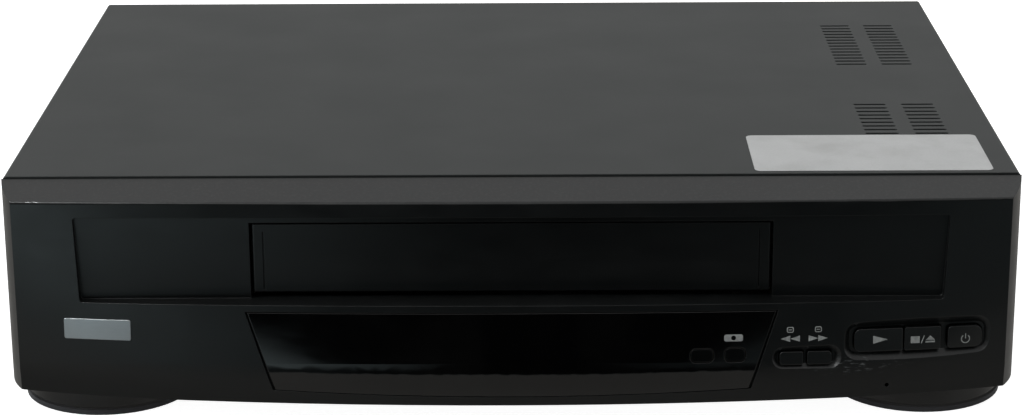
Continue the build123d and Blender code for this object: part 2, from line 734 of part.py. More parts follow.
def make_base():
    """Base tray with side rims, posts and vents, the rear panel and their screws."""
    tray = block((-tray_half, tray_half), (joint_y, rear_inner), (foot_height, floor_z))
    for side in (-1, 1):
        rim = block((side * tray_half - tray_wall / 2, side * tray_half + tray_wall / 2),
                    (joint_y + 2, rear_inner), (foot_height, floor_z + tray_rim))
        tray += Pos(-side * tray_wall / 2, 0, 0) * rim
    tray += block((-tray_half, tray_half), (rear_inner - tray_wall, rear_inner),
                  (foot_height, floor_z + rear_rim))
    posts = [column(x, y, floor_z, board_z, post_r) for x, y in board_posts()]
    posts += [column(x, y, floor_z, deck_level, post_r) for x, y in deck_posts()]
    tray += posts
    holes = [column(x, y, floor_z + 1, board_z + 1, screw_r + running_gap) for x, y in board_posts()]
    holes += [column(x, y, floor_z + 1, deck_level + 1, screw_r + running_gap) for x, y in deck_posts()]
    for places in foot_places().values():
        for x, y in places:
            holes.append(column(x, y, foot_height - 1, floor_z + 1, screw_r + running_gap))
    for side in (-1, 1):
        for y in side_screw_y:
            holes.append(bar_x(side * (tray_half - 5), side * (tray_half + 1), y, side_screw_z,
                               screw_r + running_gap))
    for x in rear_screw_x:
        holes.append(bar_y(x, rear_inner - 5, rear_inner + 1, rear_screw_z, screw_r + running_gap))
    for step in range(tray_vent_count):
        spot = Pos(board_mid, power_board_y + tray_vent_start + step * 2 * vent_pitch, foot_height - 1)
        holes.append(spot * extrude(SlotOverall(3 * vent_length, vent_width), tray_wall + 2))
    parts["base_tray"] = tray - holes
    panel = block((-inner_half + slide_gap, inner_half - slide_gap), (rear_inner, back_y),
                  (foot_height, cover_under - slide_gap))
    corners = panel.edges().filter_by(Axis.Y).group_by(Axis.Z)[-1]
    panel = fillet(corners, cover_bend - cover_sheet)
    cuts = [bar_y(x, rear_inner - 1, back_y + 1, rear_screw_z, screw_r + slide_gap) for x in rear_screw_x]
    for x in scart_x:
        cuts.append(Pos(x, 0, socket_z) * prism_plain(scart_outline(slide_gap)))
    round_ones = [(x, socket_z, audio_r) for x in audio_x]
    round_ones += [(x, aerial_z, aerial_r) for x in aerial_x]
    for x, z, r in round_ones:
        cuts.append(bar_y(x, rear_inner - 1, back_y + 1, z, r + barrel_collar + slide_gap))
    cuts.append(Pos(inlet_x, 0, socket_z) * prism_plain(
        RectangleRounded(inlet_size[0] + 2 * slide_gap, inlet_size[1] + 2 * slide_gap, 2)))
    for step in range(rear_vent_count):
        z = rear_vent_z + step * vent_pitch
        cuts.append(Pos(inlet_x, 0, z) * prism_plain(SlotOverall(3 * vent_length, vent_width)))
    parts["rear_panel"] = panel - cuts
    for x in rear_screw_x:
        head = bar_y(x, back_y, back_y + screw_head, rear_screw_z, screw_head_r)
        slot = block((x - 2, x + 2), (back_y + screw_head - 0.6, back_y + screw_head + 1),
                     (rear_screw_z - 0.3, rear_screw_z + 0.3))
        screws.append(head - slot + bar_y(x, rear_inner - 4, back_y, rear_screw_z, screw_r))


def prism_plain(face):
    """A face in x and z carried through the rear panel."""
    return prism_y(face, rear_inner - 2, back_y + 2)


# ---------------------------------------------------------------- cassette door
def make_door():
    """Flap with two ears behind the panel, whose pins turn in the panel's brackets."""
    plate = block((-door_half, door_half), (door_y, door_y + door_sheet), (door_low, door_top))
    ends = plate.edges().filter_by(Axis.Z).group_by(Axis.Y)[0]
    plate = fillet(ends, 1.0)
    for side in (-1, 1):
        x = side * door_groove_x
        plate -= block((x - door_groove / 2, x + door_groove / 2), (door_y - 1, door_y + door_groove),
                       (door_low + 1, door_top - 3))
        ear = (side * door_half, side * (door_half - door_ear))
        plate += block(ear, (door_y + door_sheet - 0.5, door_axis_y), (door_top - 6, door_top))
        plate += block(ear, (door_axis_y - door_boss_r, door_axis_y + door_boss_r),
                       (door_top - 6, door_axis_z))
        plate += bar_x(ear[0], ear[1], door_axis_y, door_axis_z, door_boss_r)
        plate += bar_x(side * (door_half - 1), side * door_pin_end, door_axis_y, door_axis_z,
                       door_pin_r)
    parts["cassette_door"] = plate
    first = -(door_half + free_gap + spring_wire)
    places = [first - step * spring_pitch for step in range(spring_turns)]
    section = Sketch() + [Pos(x, door_axis_z + spring_r) * Circle(spring_wire) for x in places]
    coil = revolve(Pos(0, door_axis_y, 0) * (Plane.XZ * section),
                   Axis((0, door_axis_y, door_axis_z), (1, 0, 0)), 360)
    for x in (places[0], places[-1]):
        coil += bar_y(x, wall_back + running_gap, door_axis_y, door_axis_z + spring_r, spring_leg_r)
    parts["door_spring"] = coil


def door_brackets():
    """Blocks on the back of the recess wall that carry the door's pins."""
    shapes = []
    for side in (-1, 1):
        x = (side * (door_pin_end - bracket_wide), side * (door_pin_end + 0.5))
        arm = block(x, (wall_back - 0.5, door_axis_y + door_boss_r), (door_top - 2, door_axis_z + 2.5))
        shapes.append(arm - bar_x(x[0] - 5, x[1] + 5, door_axis_y, door_axis_z,
                                  door_pin_r + running_gap))
    return shapes


# ---------------------------------------------------------------- electronics
def flat_board(x, y):
    return block(x, y, (board_z, board_top))


def make_front_board():
    """Upright board behind the buttons and the window, with its display and receiver."""
    y = (front_board_y, front_board_y + board_sheet)
    glass = block(display_x, (front_board_y - display_depth, front_board_y), display_z)
    front_edges = glass.edges().group_by(Axis.Y)[0]
    parts["display_tube"] = fillet(front_edges, 0.8)
    case = block((receiver_x - 4, receiver_x + 4), (front_board_y - 5, front_board_y),
                 (display_z[0] + 3, display_z[0] + 13))
    dome = Pos(receiver_x, front_board_y - 5, display_z[0] + 8) * Sphere(3)
    parts["remote_receiver"] = case + dome
    wide = (ribbon_x[0] - 1, ribbon_x[1] + 1)
    plug_y = y[1] + connector_height
    plug = block(wide, (y[1], plug_y), (ribbon_z - connector_depth / 2, ribbon_z + connector_depth / 2))
    wide = (front_board_left, panel_half - front_board_inset)
    parts["front_board"] = block(wide, y, front_board_z) + plug
    half = ribbon_sheet / 2
    drop_y = ribbon_drop_y()
    strip = block(ribbon_x, (plug_y, drop_y + half), (ribbon_z - half, ribbon_z + half))
    strip += block(ribbon_x, (drop_y - half, drop_y + half),
                   (board_top + connector_height, ribbon_z + half))
    parts["ribbon_cable"] = strip


def ribbon_drop_y():
    """Where the ribbon cable comes down to its socket on the main board."""
    return main_board_y + connector_depth + 3


def make_boards():
    """Two flat boards on the tray and what stands on them."""
    holes = []
    for x, y in board_posts():
        holes.append(column(x, y, board_z - 1, board_top + 1, screw_r + slide_gap))
        head = column(x, y, board_top, board_top + screw_head, screw_head_r)
        screws.append(head + column(x, y, floor_z + 1.5, board_top, screw_r))
    drop_y = ribbon_drop_y()
    main = flat_board((-board_out, -board_in), (main_board_y, board_rear))
    main += flat_board((-board_in - 1, deck_half), (jack_strip_y, board_rear))
    main += block((ribbon_x[0] - 1, ribbon_x[1] + 1),
                  (drop_y - connector_depth / 2, drop_y + connector_depth / 2),
                  (board_top, board_top + connector_height))
    pieces = [main - holes]
    for right, back, wide, deep in chip_plan:
        x = right - board_mid
        y = main_board_y + back
        pieces.append(block((x - wide / 2, x + wide / 2), (y - deep / 2, y + deep / 2),
                            (board_top, board_top + chip_height)))
    parts["main_board"] = group(pieces)
    parts["power_board"] = flat_board((board_in, board_out), (power_board_y, board_rear)) - holes
    make_supply()


def make_supply():
    """Transformer, heat sink and capacitors on the power board."""
    x = board_mid + transformer_at[0]
    y = power_board_y + transformer_at[1]
    wide, deep, tall = transformer_core
    core = block((x - wide / 2, x + wide / 2), (y - deep / 2, y + deep / 2),
                 (board_top, board_top + tall))
    leg = wide / 4
    limb = wide / 8
    gaps = []
    for side in (-1, 1):
        mid = x + side * (leg + limb) / 2 + side * limb / 2
        gaps.append(block((mid - limb, mid + limb), (y - deep, y + deep),
                          (board_top + limb, board_top + tall - limb)))
    core -= gaps
    reach = limb * 2 - free_gap
    winding = block((x - leg / 2 - reach + limb / 2, x + leg / 2 + reach - limb / 2),
                    (y - deep / 2 - limb, y + deep / 2 + limb),
                    (board_top + limb + free_gap, board_top + tall - limb - free_gap))
    winding = fillet(winding.edges().filter_by(Axis.Z), 3)
    parts["mains_transformer"] = group([core, winding - core])
    x = board_in + heatsink_inset
    front = power_board_y + heatsink_middle - heatsink_length / 2
    top = board_top + heatsink_height
    sink = block((x - heatsink_sheet, x), (front, front + heatsink_length), (board_top, top))
    for step in range(fin_count):
        fin = front + fin_sheet + step * (heatsink_length - 3 * fin_sheet) / (fin_count - 1)
        sink += block((x, x + fin_reach), (fin, fin + fin_sheet), (board_top + 4, top))
    parts["heatsink"] = sink
    cans = []
    for right, back, r, tall in capacitor_plan:
        x = board_mid + right
        y = power_board_y + back
        can = column(x, y, board_top, board_top + tall, r)
        can -= Pos(x, y, board_top + 2.5) * Torus(r + 0.3, 0.8)
        cans.append(can)
    parts["capacitors"] = group(cans)


def scart_outline(grow):
    """Socket face in x and z: a long block with one slanting end."""
    wide = scart_size[0] / 2 + grow
    tall = scart_size[1] / 2 + grow
    return make_face(Polyline(
        (-wide + 4, -tall), (wide, -tall), (wide, tall), (-wide, tall), (-wide, -tall + 4),
        close=True))


def make_sockets():
    """Rear sockets, each on its board and through its own hole in the rear panel."""
    units = []
    for x in scart_x:
        body = Pos(x, 0, socket_z) * prism_y(scart_outline(0), rear_inner - scart_depth,
                                             back_y + scart_reach)
        foot = block((x - scart_size[0] / 2 + 4, x + scart_size[0] / 2 - 4),
                     (rear_inner - scart_depth, rear_inner - 2), (board_top, socket_z))
        body += foot
        for row in (-1, 1):
            for step in range(10):
                slot_x = x - 17 + step * 3.8 + row * 0.95
                body -= block((slot_x - 0.6, slot_x + 0.6),
                              (back_y + scart_reach - 9, back_y + scart_reach + 1),
                              (socket_z + row * 3.2 - 1.9, socket_z + row * 3.2 + 1.9))
        units.append(body)
    parts["video_sockets"] = group(units)
    units = []
    for x in audio_x:
        body = block((x - 5.5, x + 5.5), (rear_inner - 12, rear_inner),
                     (board_top, socket_z + 5.5))
        body += bar_y(x, rear_inner - 1, back_y, socket_z, audio_r + barrel_collar)
        body += bar_y(x, back_y - 1, back_y + socket_reach, socket_z, audio_r)
        body -= bar_y(x, back_y - 2, back_y + socket_reach + 1, socket_z, audio_bore_r)
        units.append(body)
    parts["audio_sockets"] = group(units)
    tuner = block((aerial_x[0] - tuner_margin, aerial_x[1] + tuner_margin),
                  (rear_inner - tuner_depth, rear_inner), (board_top, board_top + tuner_height))
    for x in aerial_x:
        tuner += bar_y(x, rear_inner - 1, back_y, aerial_z, aerial_r + barrel_collar)
        tuner += bar_y(x, back_y - 1, back_y + socket_reach, aerial_z, aerial_r)
        tuner -= bar_y(x, back_y - 2, back_y + socket_reach + 1, aerial_z, aerial_bore_r)
    parts["tuner_module"] = tuner
    wide, tall = inlet_size
    body = Pos(inlet_x, 0, socket_z) * prism_y(
        RectangleRounded(wide, tall, 2), rear_inner - inlet_depth - 4, back_y + inlet_reach)
    body += block((inlet_x - wide / 2 + 3, inlet_x + wide / 2 - 3),
                  (rear_inner - inlet_depth - 4, rear_inner - 2), (board_top, socket_z))
    body -= Pos(inlet_x, 0, socket_z) * prism_y(
        SlotOverall(inlet_mouth[0], inlet_mouth[1]), back_y + inlet_reach - inlet_depth, back_y + 3)
    for side in (-1, 1):
        body += bar_y(inlet_x + side * inlet_pin_pitch / 2, back_y - inlet_depth, back_y,
                      socket_z, inlet_pin_r)
    parts["mains_inlet"] = body


# ---------------------------------------------------------------- cassette carriage
def make_carriage():
    """Side frames, a slider that runs in them and a holder that sinks in the slider."""
    start = joint_y + holder_start
    end = start + holder_depth
    holder_top = cassette_z + cassette_height + cassette_float
    pins_y = (start + pin_inset, start + pin_inset + carriage_pin_pitch)
    frame_top = slider_top + free_gap * 2
    frames = []
    for side in (-1, 1):
        y = (joint_y + deck_front + 2, deck_line + carriage_rear)
        outer = frame_half + carriage_sheet
        wall = block((side * frame_half, side * outer), y, (deck_z, frame_top))
        wall += block((side * (frame_half - 8), side * frame_half), y, (deck_z, deck_z + carriage_sheet))
        track = block((side * (frame_half - 1), side * (outer + 1)),
                      (pins_y[0], pins_y[1] + load_in),
                      (carriage_pin_z - pin_slot, carriage_pin_z + pin_slot))
        for track_y in (pins_y[0], pins_y[1] + load_in):
            track += bar_x(side * (frame_half - 1), side * (outer + 1), track_y, carriage_pin_z,
                           pin_slot)
        window_y = (y[0] + 14, y[1] - 14)
        opening = block((side * (frame_half - 1), side * (outer + 1)), window_y,
                        (deck_z + frame_foot, carriage_pin_z - frame_rail))
        frames.append(wall - track - opening)
    bridge_y = (deck_line + carriage_rear - bridge_wide, deck_line + carriage_rear)
    half = frame_half + carriage_sheet
    frames.append(block((-half, half), bridge_y, (frame_top, frame_top + carriage_sheet)))
    parts["carriage_frame"] = group(frames)

    slider_y = (start + pin_inset - 6, start + pin_inset + carriage_pin_pitch + 6)
    slider = block((-slider_half - carriage_sheet, slider_half + carriage_sheet),
                   (slider_y[0] + 8, slider_y[1]), (slider_top - carriage_sheet, slider_top))
    for side in (-1, 1):
        outer = side * (slider_half + carriage_sheet)
        slider += block((side * slider_half, outer), slider_y, (cassette_z - 4, slider_top))
        for y in pins_y:
            slider += bar_x(outer - side * 0.5, side * (frame_half + carriage_sheet + 0.8), y,
                            carriage_pin_z, carriage_pin_r)
            slot = block((side * (slider_half - 1), outer + side), (y - pin_slot, y + pin_slot),
                         (holder_pin_z - load_down, holder_pin_z))
            for z in (holder_pin_z - load_down, holder_pin_z):
                slot += bar_x(side * (slider_half - 1), outer + side, y, z, pin_slot)
            slider -= slot
    parts["carriage_slider"] = slider

    holder = block((-holder_out, holder_out), (start, end),
                   (cassette_z - holder_sheet, holder_top + holder_sheet))
    holder -= block((-holder_half, holder_half), (start - 1, end + 1), (cassette_z, holder_top))
    low_half = holder_half - holder_ledge
    holder -= block((-low_half, low_half), (start - 1, end + 1), (0, cassette_z + 1))
    holder -= block((-low_half + 20, low_half - 20), (start + 12, end - 14),
                    (holder_top - 1, holder_top + 5))
    stop = block((-16, 16), (stop_y, end), (holder_top - 6, holder_top + 0.5))
    holder += stop
    for side in (-1, 1):
        for y in pins_y:
            holder += bar_x(side * (holder_out - 0.5), side * (frame_half - free_gap), y,
                            holder_pin_z, carriage_pin_r)
    parts["cassette_holder"] = holder


# ---------------------------------------------------------------- tape deck
def gear(place, z0, z1, tip_r, bore, teeth):
    """A spur wheel with straight-sided teeth."""
    x, y = at(place)
    tooth_wide = 2 * pi * tip_r / teeth * 0.42
    face = Circle(tip_r - tooth_depth)
    face += PolarLocations(tip_r - tooth_depth, teeth) * Rectangle(2 * tooth_depth - 0.05, tooth_wide)
    face -= Circle(bore)
    return Pos(x, y, z0) * extrude(face, z1 - z0)


def guide_slot(side):
    """The slot in the deck that a tape guide slides along."""
    x0, y0 = at((side * guide_start[0], guide_start[1]))
    x1, y1 = at((side * guide_end[0], guide_end[1]))
    run = hypot(x1 - x0, y1 - y0)
    turn = degrees(atan2(y1 - y0, x1 - x0))
    face = SlotCenterToCenter(run, 2 * (guide_stem_r + slide_gap))
    spot = Pos((x0 + x1) / 2, (y0 + y1) / 2, deck_level - 1) * Rot(0, 0, turn)
    return spot * extrude(face, deck_sheet + 2)


def make_deck():
    """Deck plate with its slots and holes, the posts that its wheels turn on, and screws."""
    plate = block((-deck_half, deck_half), (joint_y + deck_front, deck_line + deck_rear),
                  (deck_level, deck_z))
    cuts = [guide_slot(-1), guide_slot(1)]
    cuts.append(column(*at(clutch_at), deck_level - 1, deck_z + 1, clutch_hub_r + free_gap))
    cuts.append(column(*at(capstan_at), deck_level - 1, deck_z + 1, capstan_tube_r + running_gap))
    for x, y in deck_posts():
        cuts.append(column(x, y, deck_level - 1, deck_z + 1, screw_r + slide_gap))
        head = column(x, y, deck_z, deck_z + screw_head, screw_head_r)
        screws.append(head + column(x, y, floor_z + 2, deck_z, screw_r))
    parts["deck_plate"] = plate - cuts
    posts = []
    for side in (-1, 1):
        posts.append(column(*at((side * reel_x, reel_y)), deck_z, reel_top, post_pin_r))
    posts.append(column(*at(clutch_at), floor_z, gear_top, post_pin_r))
    posts.append(column(*at(pinch_pivot), deck_z, deck_z + 19, post_pin_r))
    posts.append(column(*at(tension_pivot), deck_z, deck_z + 7, post_pin_r))
    posts.append(column(*at(cam_at), deck_z, cam_level + cam_height, post_pin_r))
    x, y = at(capstan_at)
    tube = column(x, y, deck_z, deck_z + 1.3, capstan_tube_r + 3)
    tube += column(x, y, belt_top + free_gap, deck_z, capstan_tube_r)
    posts.append(tube - column(x, y, 0, deck_z + 5, capstan_r + running_gap))
    parts["pivot_pins"] = group(posts)


def make_reels():
    """Two reel tables, the clutch wheel, and the idler on its swinging arm."""
    bore = post_pin_r + running_gap
    base = deck_z + free_gap
    for side, name in ((-1, "supply_reel_table"), (1, "takeup_reel_table")):
        x, y = at((side * reel_x, reel_y))
        wheel = gear((side * reel_x, reel_y), base, base + 2.6, reel_r, bore, 60)
        wheel += ring(x, y, base + 2.6, base + 4.2, reel_r - 2.5, bore)
        wheel += ring(x, y, base + 4.2, reel_top - 1, reel_hub_r, bore)
        for step in range(3):
            spline = block((reel_hub_r - 0.5, reel_hub_r + 2.2), (-0.8, 0.8),
                           (base + 4.2, reel_top - 3))
            wheel += Pos(x, y, 0) * Rot(0, 0, 120 * step) * spline
        parts[name] = wheel
    x, y = at(clutch_at)
    wheel = ring(x, y, belt_level - pulley_rim, belt_top, clutch_pulley_r, bore)
    wheel += ring(x, y, belt_level, gear_level, clutch_hub_r, bore)
    wheel += gear(clutch_at, gear_level, gear_top - 0.5, clutch_gear_r, bore, 24)
    parts["clutch_wheel"] = wheel
    ix, iy = at(idler_at)
    arm_z = (deck_z + free_gap, gear_level - free_gap)
    arm = block((-3.5, 3.5), (iy, y), arm_z)
    arm += column(x, y, *arm_z, clutch_hub_r + 3.5)
    arm += column(ix, iy, *arm_z, 3.5)
    arm -= column(x, y, arm_z[0] - 1, arm_z[1] + 1, clutch_hub_r + running_gap)
    arm += column(ix, iy, arm_z[0], gear_top, post_pin_r)
    parts["idler_arm"] = arm
    parts["idler_gear"] = gear(idler_at, gear_level, gear_top - 0.5, idler_r, bore, 38)


def belt_loop(grow):
    """The outline of a belt over the capstan's pulley and the clutch wheel."""
    first = Pos(*at(capstan_at)) * Circle(capstan_pulley_r + grow)
    second = Pos(*at(clutch_at)) * Circle(clutch_pulley_r + grow)
    return make_hull((first + second).edges())


def make_capstan():
    """Capstan on its flat motor under the deck, the belt, and the pinch roller."""
    x, y = at(capstan_at)
    rotor = column(x, y, rotor_level, rotor_level + capstan_rotor, capstan_rotor_r)
    rotor += column(x, y, rotor_level, belt_top, capstan_pulley_r)
    rotor += column(x, y, rotor_level - free_gap, capstan_top, capstan_r)
    parts["capstan_rotor"] = rotor
    half = capstan_rotor_r + 2
    stator = block((x - half, x + half), (y - half, y + half), (floor_z, floor_z + 1.2))
    parts["capstan_motor_board"] = stator
    loop = belt_loop(belt_slack + belt_size) - belt_loop(belt_slack)
    parts["drive_belt"] = Pos(0, 0, belt_level) * extrude(loop, belt_size)

    px, py = at(pinch_pivot)
    rx, ry = at(pinch_at)
    reach = hypot(rx - px, ry - py)
    turn = degrees(atan2(ry - py, rx - px))
    arm = Pos((px + rx) / 2, (py + ry) / 2, deck_z + 2) * Rot(0, 0, turn) * extrude(
        SlotCenterToCenter(reach, 7), 2)
    arm += column(px, py, deck_z + free_gap, deck_z + 18, 4)
    arm -= column(px, py, deck_z - 1, deck_z + 20, post_pin_r + running_gap)
    roller_z = deck_z + 4 + free_gap
    arm += column(rx, ry, deck_z + 2, roller_z + pinch_height + 1, post_pin_r)
    parts["pinch_arm"] = arm
    roller = ring(rx, ry, roller_z, roller_z + pinch_height, pinch_r, post_pin_r + running_gap)
    parts["pinch_roller"] = roller


def make_drum():
    """Leaning head drum: fixed lower half, turning upper half with its heads, and rotor."""
    middle = deck_line + drum_y
    place = Pos(0, middle, deck_z + drum_seat) * Rot(drum_tilt, 0, 0)
    base_z = (deck_z, deck_z + 2 * drum_seat)
    base = column(0, middle, *base_z, drum_r)
    base += block((-drum_foot_half, drum_foot_half), (middle + 12, middle + drum_r + 3), base_z)
    parts["drum_base"] = base - place * Pos(0, 0, drum_r) * Box(4 * drum_r, 4 * drum_r, 2 * drum_r)
    lower = column(0, 0, 0, lower_drum_height, drum_r)
    lower -= column(0, 0, -1, lower_drum_height + 1, drum_shaft_r + running_gap)
    parts["lower_drum"] = place * lower
    z0 = lower_drum_height + drum_gap
    z1 = z0 + upper_drum_height
    upper = column(0, 0, z0, z1, drum_r) - column(0, 0, z0 - 1, z1 + 1, drum_shaft_r)
    heads = []
    for side in (-1, 1):
        tip = side * drum_r
        root = side * (drum_r - head_length)
        upper -= block((root, tip + side), (-head_wide, head_wide), (z0 - 1, z0 + head_height))
        heads.append(place * block((root, tip), (-head_wide / 2, head_wide / 2),
                                   (z0, z0 + head_height)))
    parts["upper_drum"] = group([place * upper] + heads)
    rotor = column(0, 0, z1, z1 + drum_rotor_height, drum_rotor_r)
    rotor += column(0, 0, 1, z1 + drum_rotor_height, drum_shaft_r)
    parts["drum_rotor"] = place * rotor


def make_tape_path():
    """Sliding tape guides, fixed heads and the tension arm round the drum."""
    for side, name in ((-1, "supply_guide"), (1, "takeup_guide")):
        x, y = at((side * guide_start[0], guide_start[1]))
        foot = deck_z + slide_gap
        guide = block((x - 4.5, x + 4.5), (y - 4.5, y + 4.5), (foot, foot + 3))
        guide += column(x, y, foot + 3, guide_top, guide_post_r)
        guide += column(x, y, foot + 5, foot + 6.5, guide_post_r + 1.2)
        guide += column(x, y, guide_top - 1.5, guide_top, guide_post_r + 1.2)
        guide += column(x, y, deck_level - 1.6, foot, guide_stem_r)
        guide += column(x, y, deck_level - 1.6, deck_level - slide_gap, guide_stem_r + 1.6)
        parts[name] = guide
    x, y = at(audio_head_at)
    stand = block((x - 6, x + 6), (y - 5, y + 5), (deck_z, deck_z + 2))
    audio = stand + block((x - 4, x + 4), (y - 3.5, y + 3.5), (deck_z + 2, guide_top - 4))
    x, y = at(erase_head_at)
    stand = block((x - 5, x + 5), (y - 4, y + 4), (deck_z, deck_z + 2))
    erase = stand + block((x - 3.5, x + 3.5), (y - 3, y + 3), (deck_z + 2, guide_top - 4))
    parts["fixed_heads"] = group([audio, erase])
    px, py = at(tension_pivot)
    tx, ty = at(tension_pole)
    reach = hypot(tx - px, ty - py)
    turn = degrees(atan2(ty - py, tx - px))
    arm = Pos((px + tx) / 2, (py + ty) / 2, deck_z + free_gap) * Rot(0, 0, turn) * extrude(
        SlotCenterToCenter(reach, 6), 2)
    arm += column(px, py, deck_z + free_gap, deck_z + 6, 3.5)
    arm -= column(px, py, deck_z - 1, deck_z + 8, post_pin_r + running_gap)
    arm += column(tx, ty, deck_z + 2, guide_top - 3, 1.5)
    parts["tension_arm"] = arm


def make_loading_drive():
    """Mode cam wheel turned by a worm on the loading motor."""
    bore = post_pin_r + running_gap
    x, y = at(cam_at)
    cam = gear(cam_at, cam_level, cam_level + cam_height, cam_r, bore, 44)
    cam += ring(x, y, deck_z + free_gap, cam_level, 6, bore)
    groove = Pos(x, y, cam_level + cam_height - 1.5) * extrude(
        Circle(cam_r - 5) - Circle(cam_r - 8), 3)
    cam -= groove
    parts["mode_cam_wheel"] = cam
    shaft_y = y + cam_r + free_gap + worm_r
    shaft_z = cam_level + cam_height / 2
    centre = x
    worm_x = (centre - worm_length / 2, centre + worm_length / 2)
    worm = bar_x(worm_x[0], worm_x[1], shaft_y, shaft_z, worm_r - 1)
    turns = 9
    for step in range(turns):
        spot = worm_x[0] + 1 + (worm_length - 2) * step / (turns - 1)
        worm += bar_x(spot - 0.6, spot + 0.6, shaft_y, shaft_z, worm_r)
    left = worm_x[0] - 2
    right = worm_x[1] + 2
    worm += bar_x(left - bracket_sheet - 2, right + bracket_sheet, shaft_y, shaft_z, worm_shaft_r)
    parts["loading_worm"] = worm
    frame = block((left - motor_length, right + bracket_sheet), (shaft_y - 8, shaft_y + 8),
                  (deck_z, deck_z + 1))
    for x0 in (left - bracket_sheet, right):
        frame += block((x0, x0 + bracket_sheet), (shaft_y - 6, shaft_y + 6), (deck_z, shaft_z + 4))
    frame -= bar_x(left - 2, right + 3, shaft_y, shaft_z, worm_shaft_r + running_gap)
    motor = bar_x(left - bracket_sheet - motor_length, left - bracket_sheet, shaft_y, shaft_z,
                  motor_r)
    motor -= bar_x(left - bracket_sheet - 3, left, shaft_y, shaft_z, worm_shaft_r + slide_gap)
    parts["loading_motor"] = group([motor, frame])


make_panel()
make_cover()
make_feet()
make_base()
make_door()
make_front_board()
make_boards()
make_sockets()
make_carriage()
make_deck()
make_reels()
make_capstan()
make_drum()
make_tape_path()
make_loading_drive()
parts["machine_screws"] = group(screws)

os.makedirs("parts", exist_ok=True)
for name, shape in parts.items():
    export_step(shape, f"parts/{name}.step")
    print(name, len(shape.solids()), round(shape.volume, 1), shape.bounding_box())
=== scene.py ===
import json
import math
from functools import partial

import bpy
from mathutils import Matrix, Vector
from mathutils.bvhtree import BVHTree


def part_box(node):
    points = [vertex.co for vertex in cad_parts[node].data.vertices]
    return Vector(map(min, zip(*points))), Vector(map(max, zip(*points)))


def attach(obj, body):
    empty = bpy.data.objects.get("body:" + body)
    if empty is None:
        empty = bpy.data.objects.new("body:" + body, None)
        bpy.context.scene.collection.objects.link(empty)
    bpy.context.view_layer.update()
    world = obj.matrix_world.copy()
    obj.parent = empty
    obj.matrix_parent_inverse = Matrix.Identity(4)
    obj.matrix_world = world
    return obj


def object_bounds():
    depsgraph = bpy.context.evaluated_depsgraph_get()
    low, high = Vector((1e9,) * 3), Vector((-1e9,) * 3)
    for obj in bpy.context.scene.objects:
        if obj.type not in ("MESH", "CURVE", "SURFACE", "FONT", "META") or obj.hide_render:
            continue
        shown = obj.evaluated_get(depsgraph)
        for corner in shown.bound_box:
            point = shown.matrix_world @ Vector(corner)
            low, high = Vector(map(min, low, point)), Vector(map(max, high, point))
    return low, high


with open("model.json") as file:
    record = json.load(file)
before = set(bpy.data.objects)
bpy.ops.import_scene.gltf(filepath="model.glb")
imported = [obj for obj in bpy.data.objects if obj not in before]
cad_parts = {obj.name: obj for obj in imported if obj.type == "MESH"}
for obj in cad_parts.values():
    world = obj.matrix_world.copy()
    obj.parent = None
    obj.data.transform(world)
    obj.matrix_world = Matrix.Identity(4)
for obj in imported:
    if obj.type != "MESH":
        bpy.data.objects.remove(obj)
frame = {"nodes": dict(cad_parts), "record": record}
cad_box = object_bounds()

# ---------------------------------------------------------------- named values, sizes in metres
MM = 0.001
FRONT = cad_box[0].y
BACK_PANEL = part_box("rear_panel")[1].y
COVER_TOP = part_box("top_cover")[1].z

# camera: place, angles in degrees, lens and sensor in millimetres
CAMERA_AT = (0.0056, -1.1063, 0.3928)
CAMERA_PITCH = 17.80
CAMERA_YAW = -0.31
CAMERA_ROLL = -0.33
CAMERA_LENS = 96.33
CAMERA_SENSOR = 36.0

# printed signs: how far the ink stands off what carries it, how far before the front the search for
# that surface starts, and where each sign stands from the middle of its key, across and up
INK_LIFT = 0.04 * MM
SEARCH_START = 0.1
PLAY_SHIFT = (0.7 * MM, 0.2 * MM)
STOP_SHIFT = (0.0, -0.4 * MM)
POWER_SHIFT = (0.3 * MM, -0.85 * MM)
WIND_SHIFT = (-0.55 * MM, 7.45 * MM)
RECORD_SHIFT = (-0.6 * MM, 6.4 * MM)

# phono sockets: each one's place across with its ring's colour, their height, the radius out to
# which the ring reaches, and a radius just outside the barrel
PHONO_RINGS = (
    (38 * MM, (0.55, 0.37, 0.02)),
    (52 * MM, (0.56, 0.56, 0.54)),
    (66 * MM, (0.42, 0.015, 0.012)),
)
PHONO_Z = 31 * MM
PHONO_RING_R = 3.1 * MM
PHONO_BARREL_R = 4.6 * MM

# keys that stand in the smoked window, as dark as it is
WINDOW_KEYS = ("channel_button", "record_button")

# scuffs on the panel below the play key
SCUFF_X = (102 * MM, 152 * MM)
SCUFF_Z = (19.5 * MM, 28.5 * MM)

# paper sticker on the cover
STICKER_X = (91.6 * MM, 181.3 * MM)
STICKER_Y = (-122.9 * MM, -75.4 * MM)
STICKER_CORNER = 2.6 * MM
STICKER_THICK = 0.08 * MM
STICKER_LIFT = 0.01 * MM

# floor, and two dark cards that only reflections show: one lies on the floor, one stands behind the camera
FLOOR_HALF = 4.0
FLOOR_GREY = 0.86
FLOOR_ROUGH = 0.9
FLOOR_GLOW = 0.95
CARD_HALF = 1.6
CARD_BACK = FRONT + 0.35
CARD_FRONT = -1.9
CARD_LIFT = 0.002
CARD_HEIGHT = 1.1
CARD_RGB = (0.004, 0.004, 0.0042)

# glow of the card on the floor, across: it fades out from the left, and in again to the right
LEFT_GLOW_X = (-0.42, -0.04)
RIGHT_GLOW_X = (0.05, 0.5)
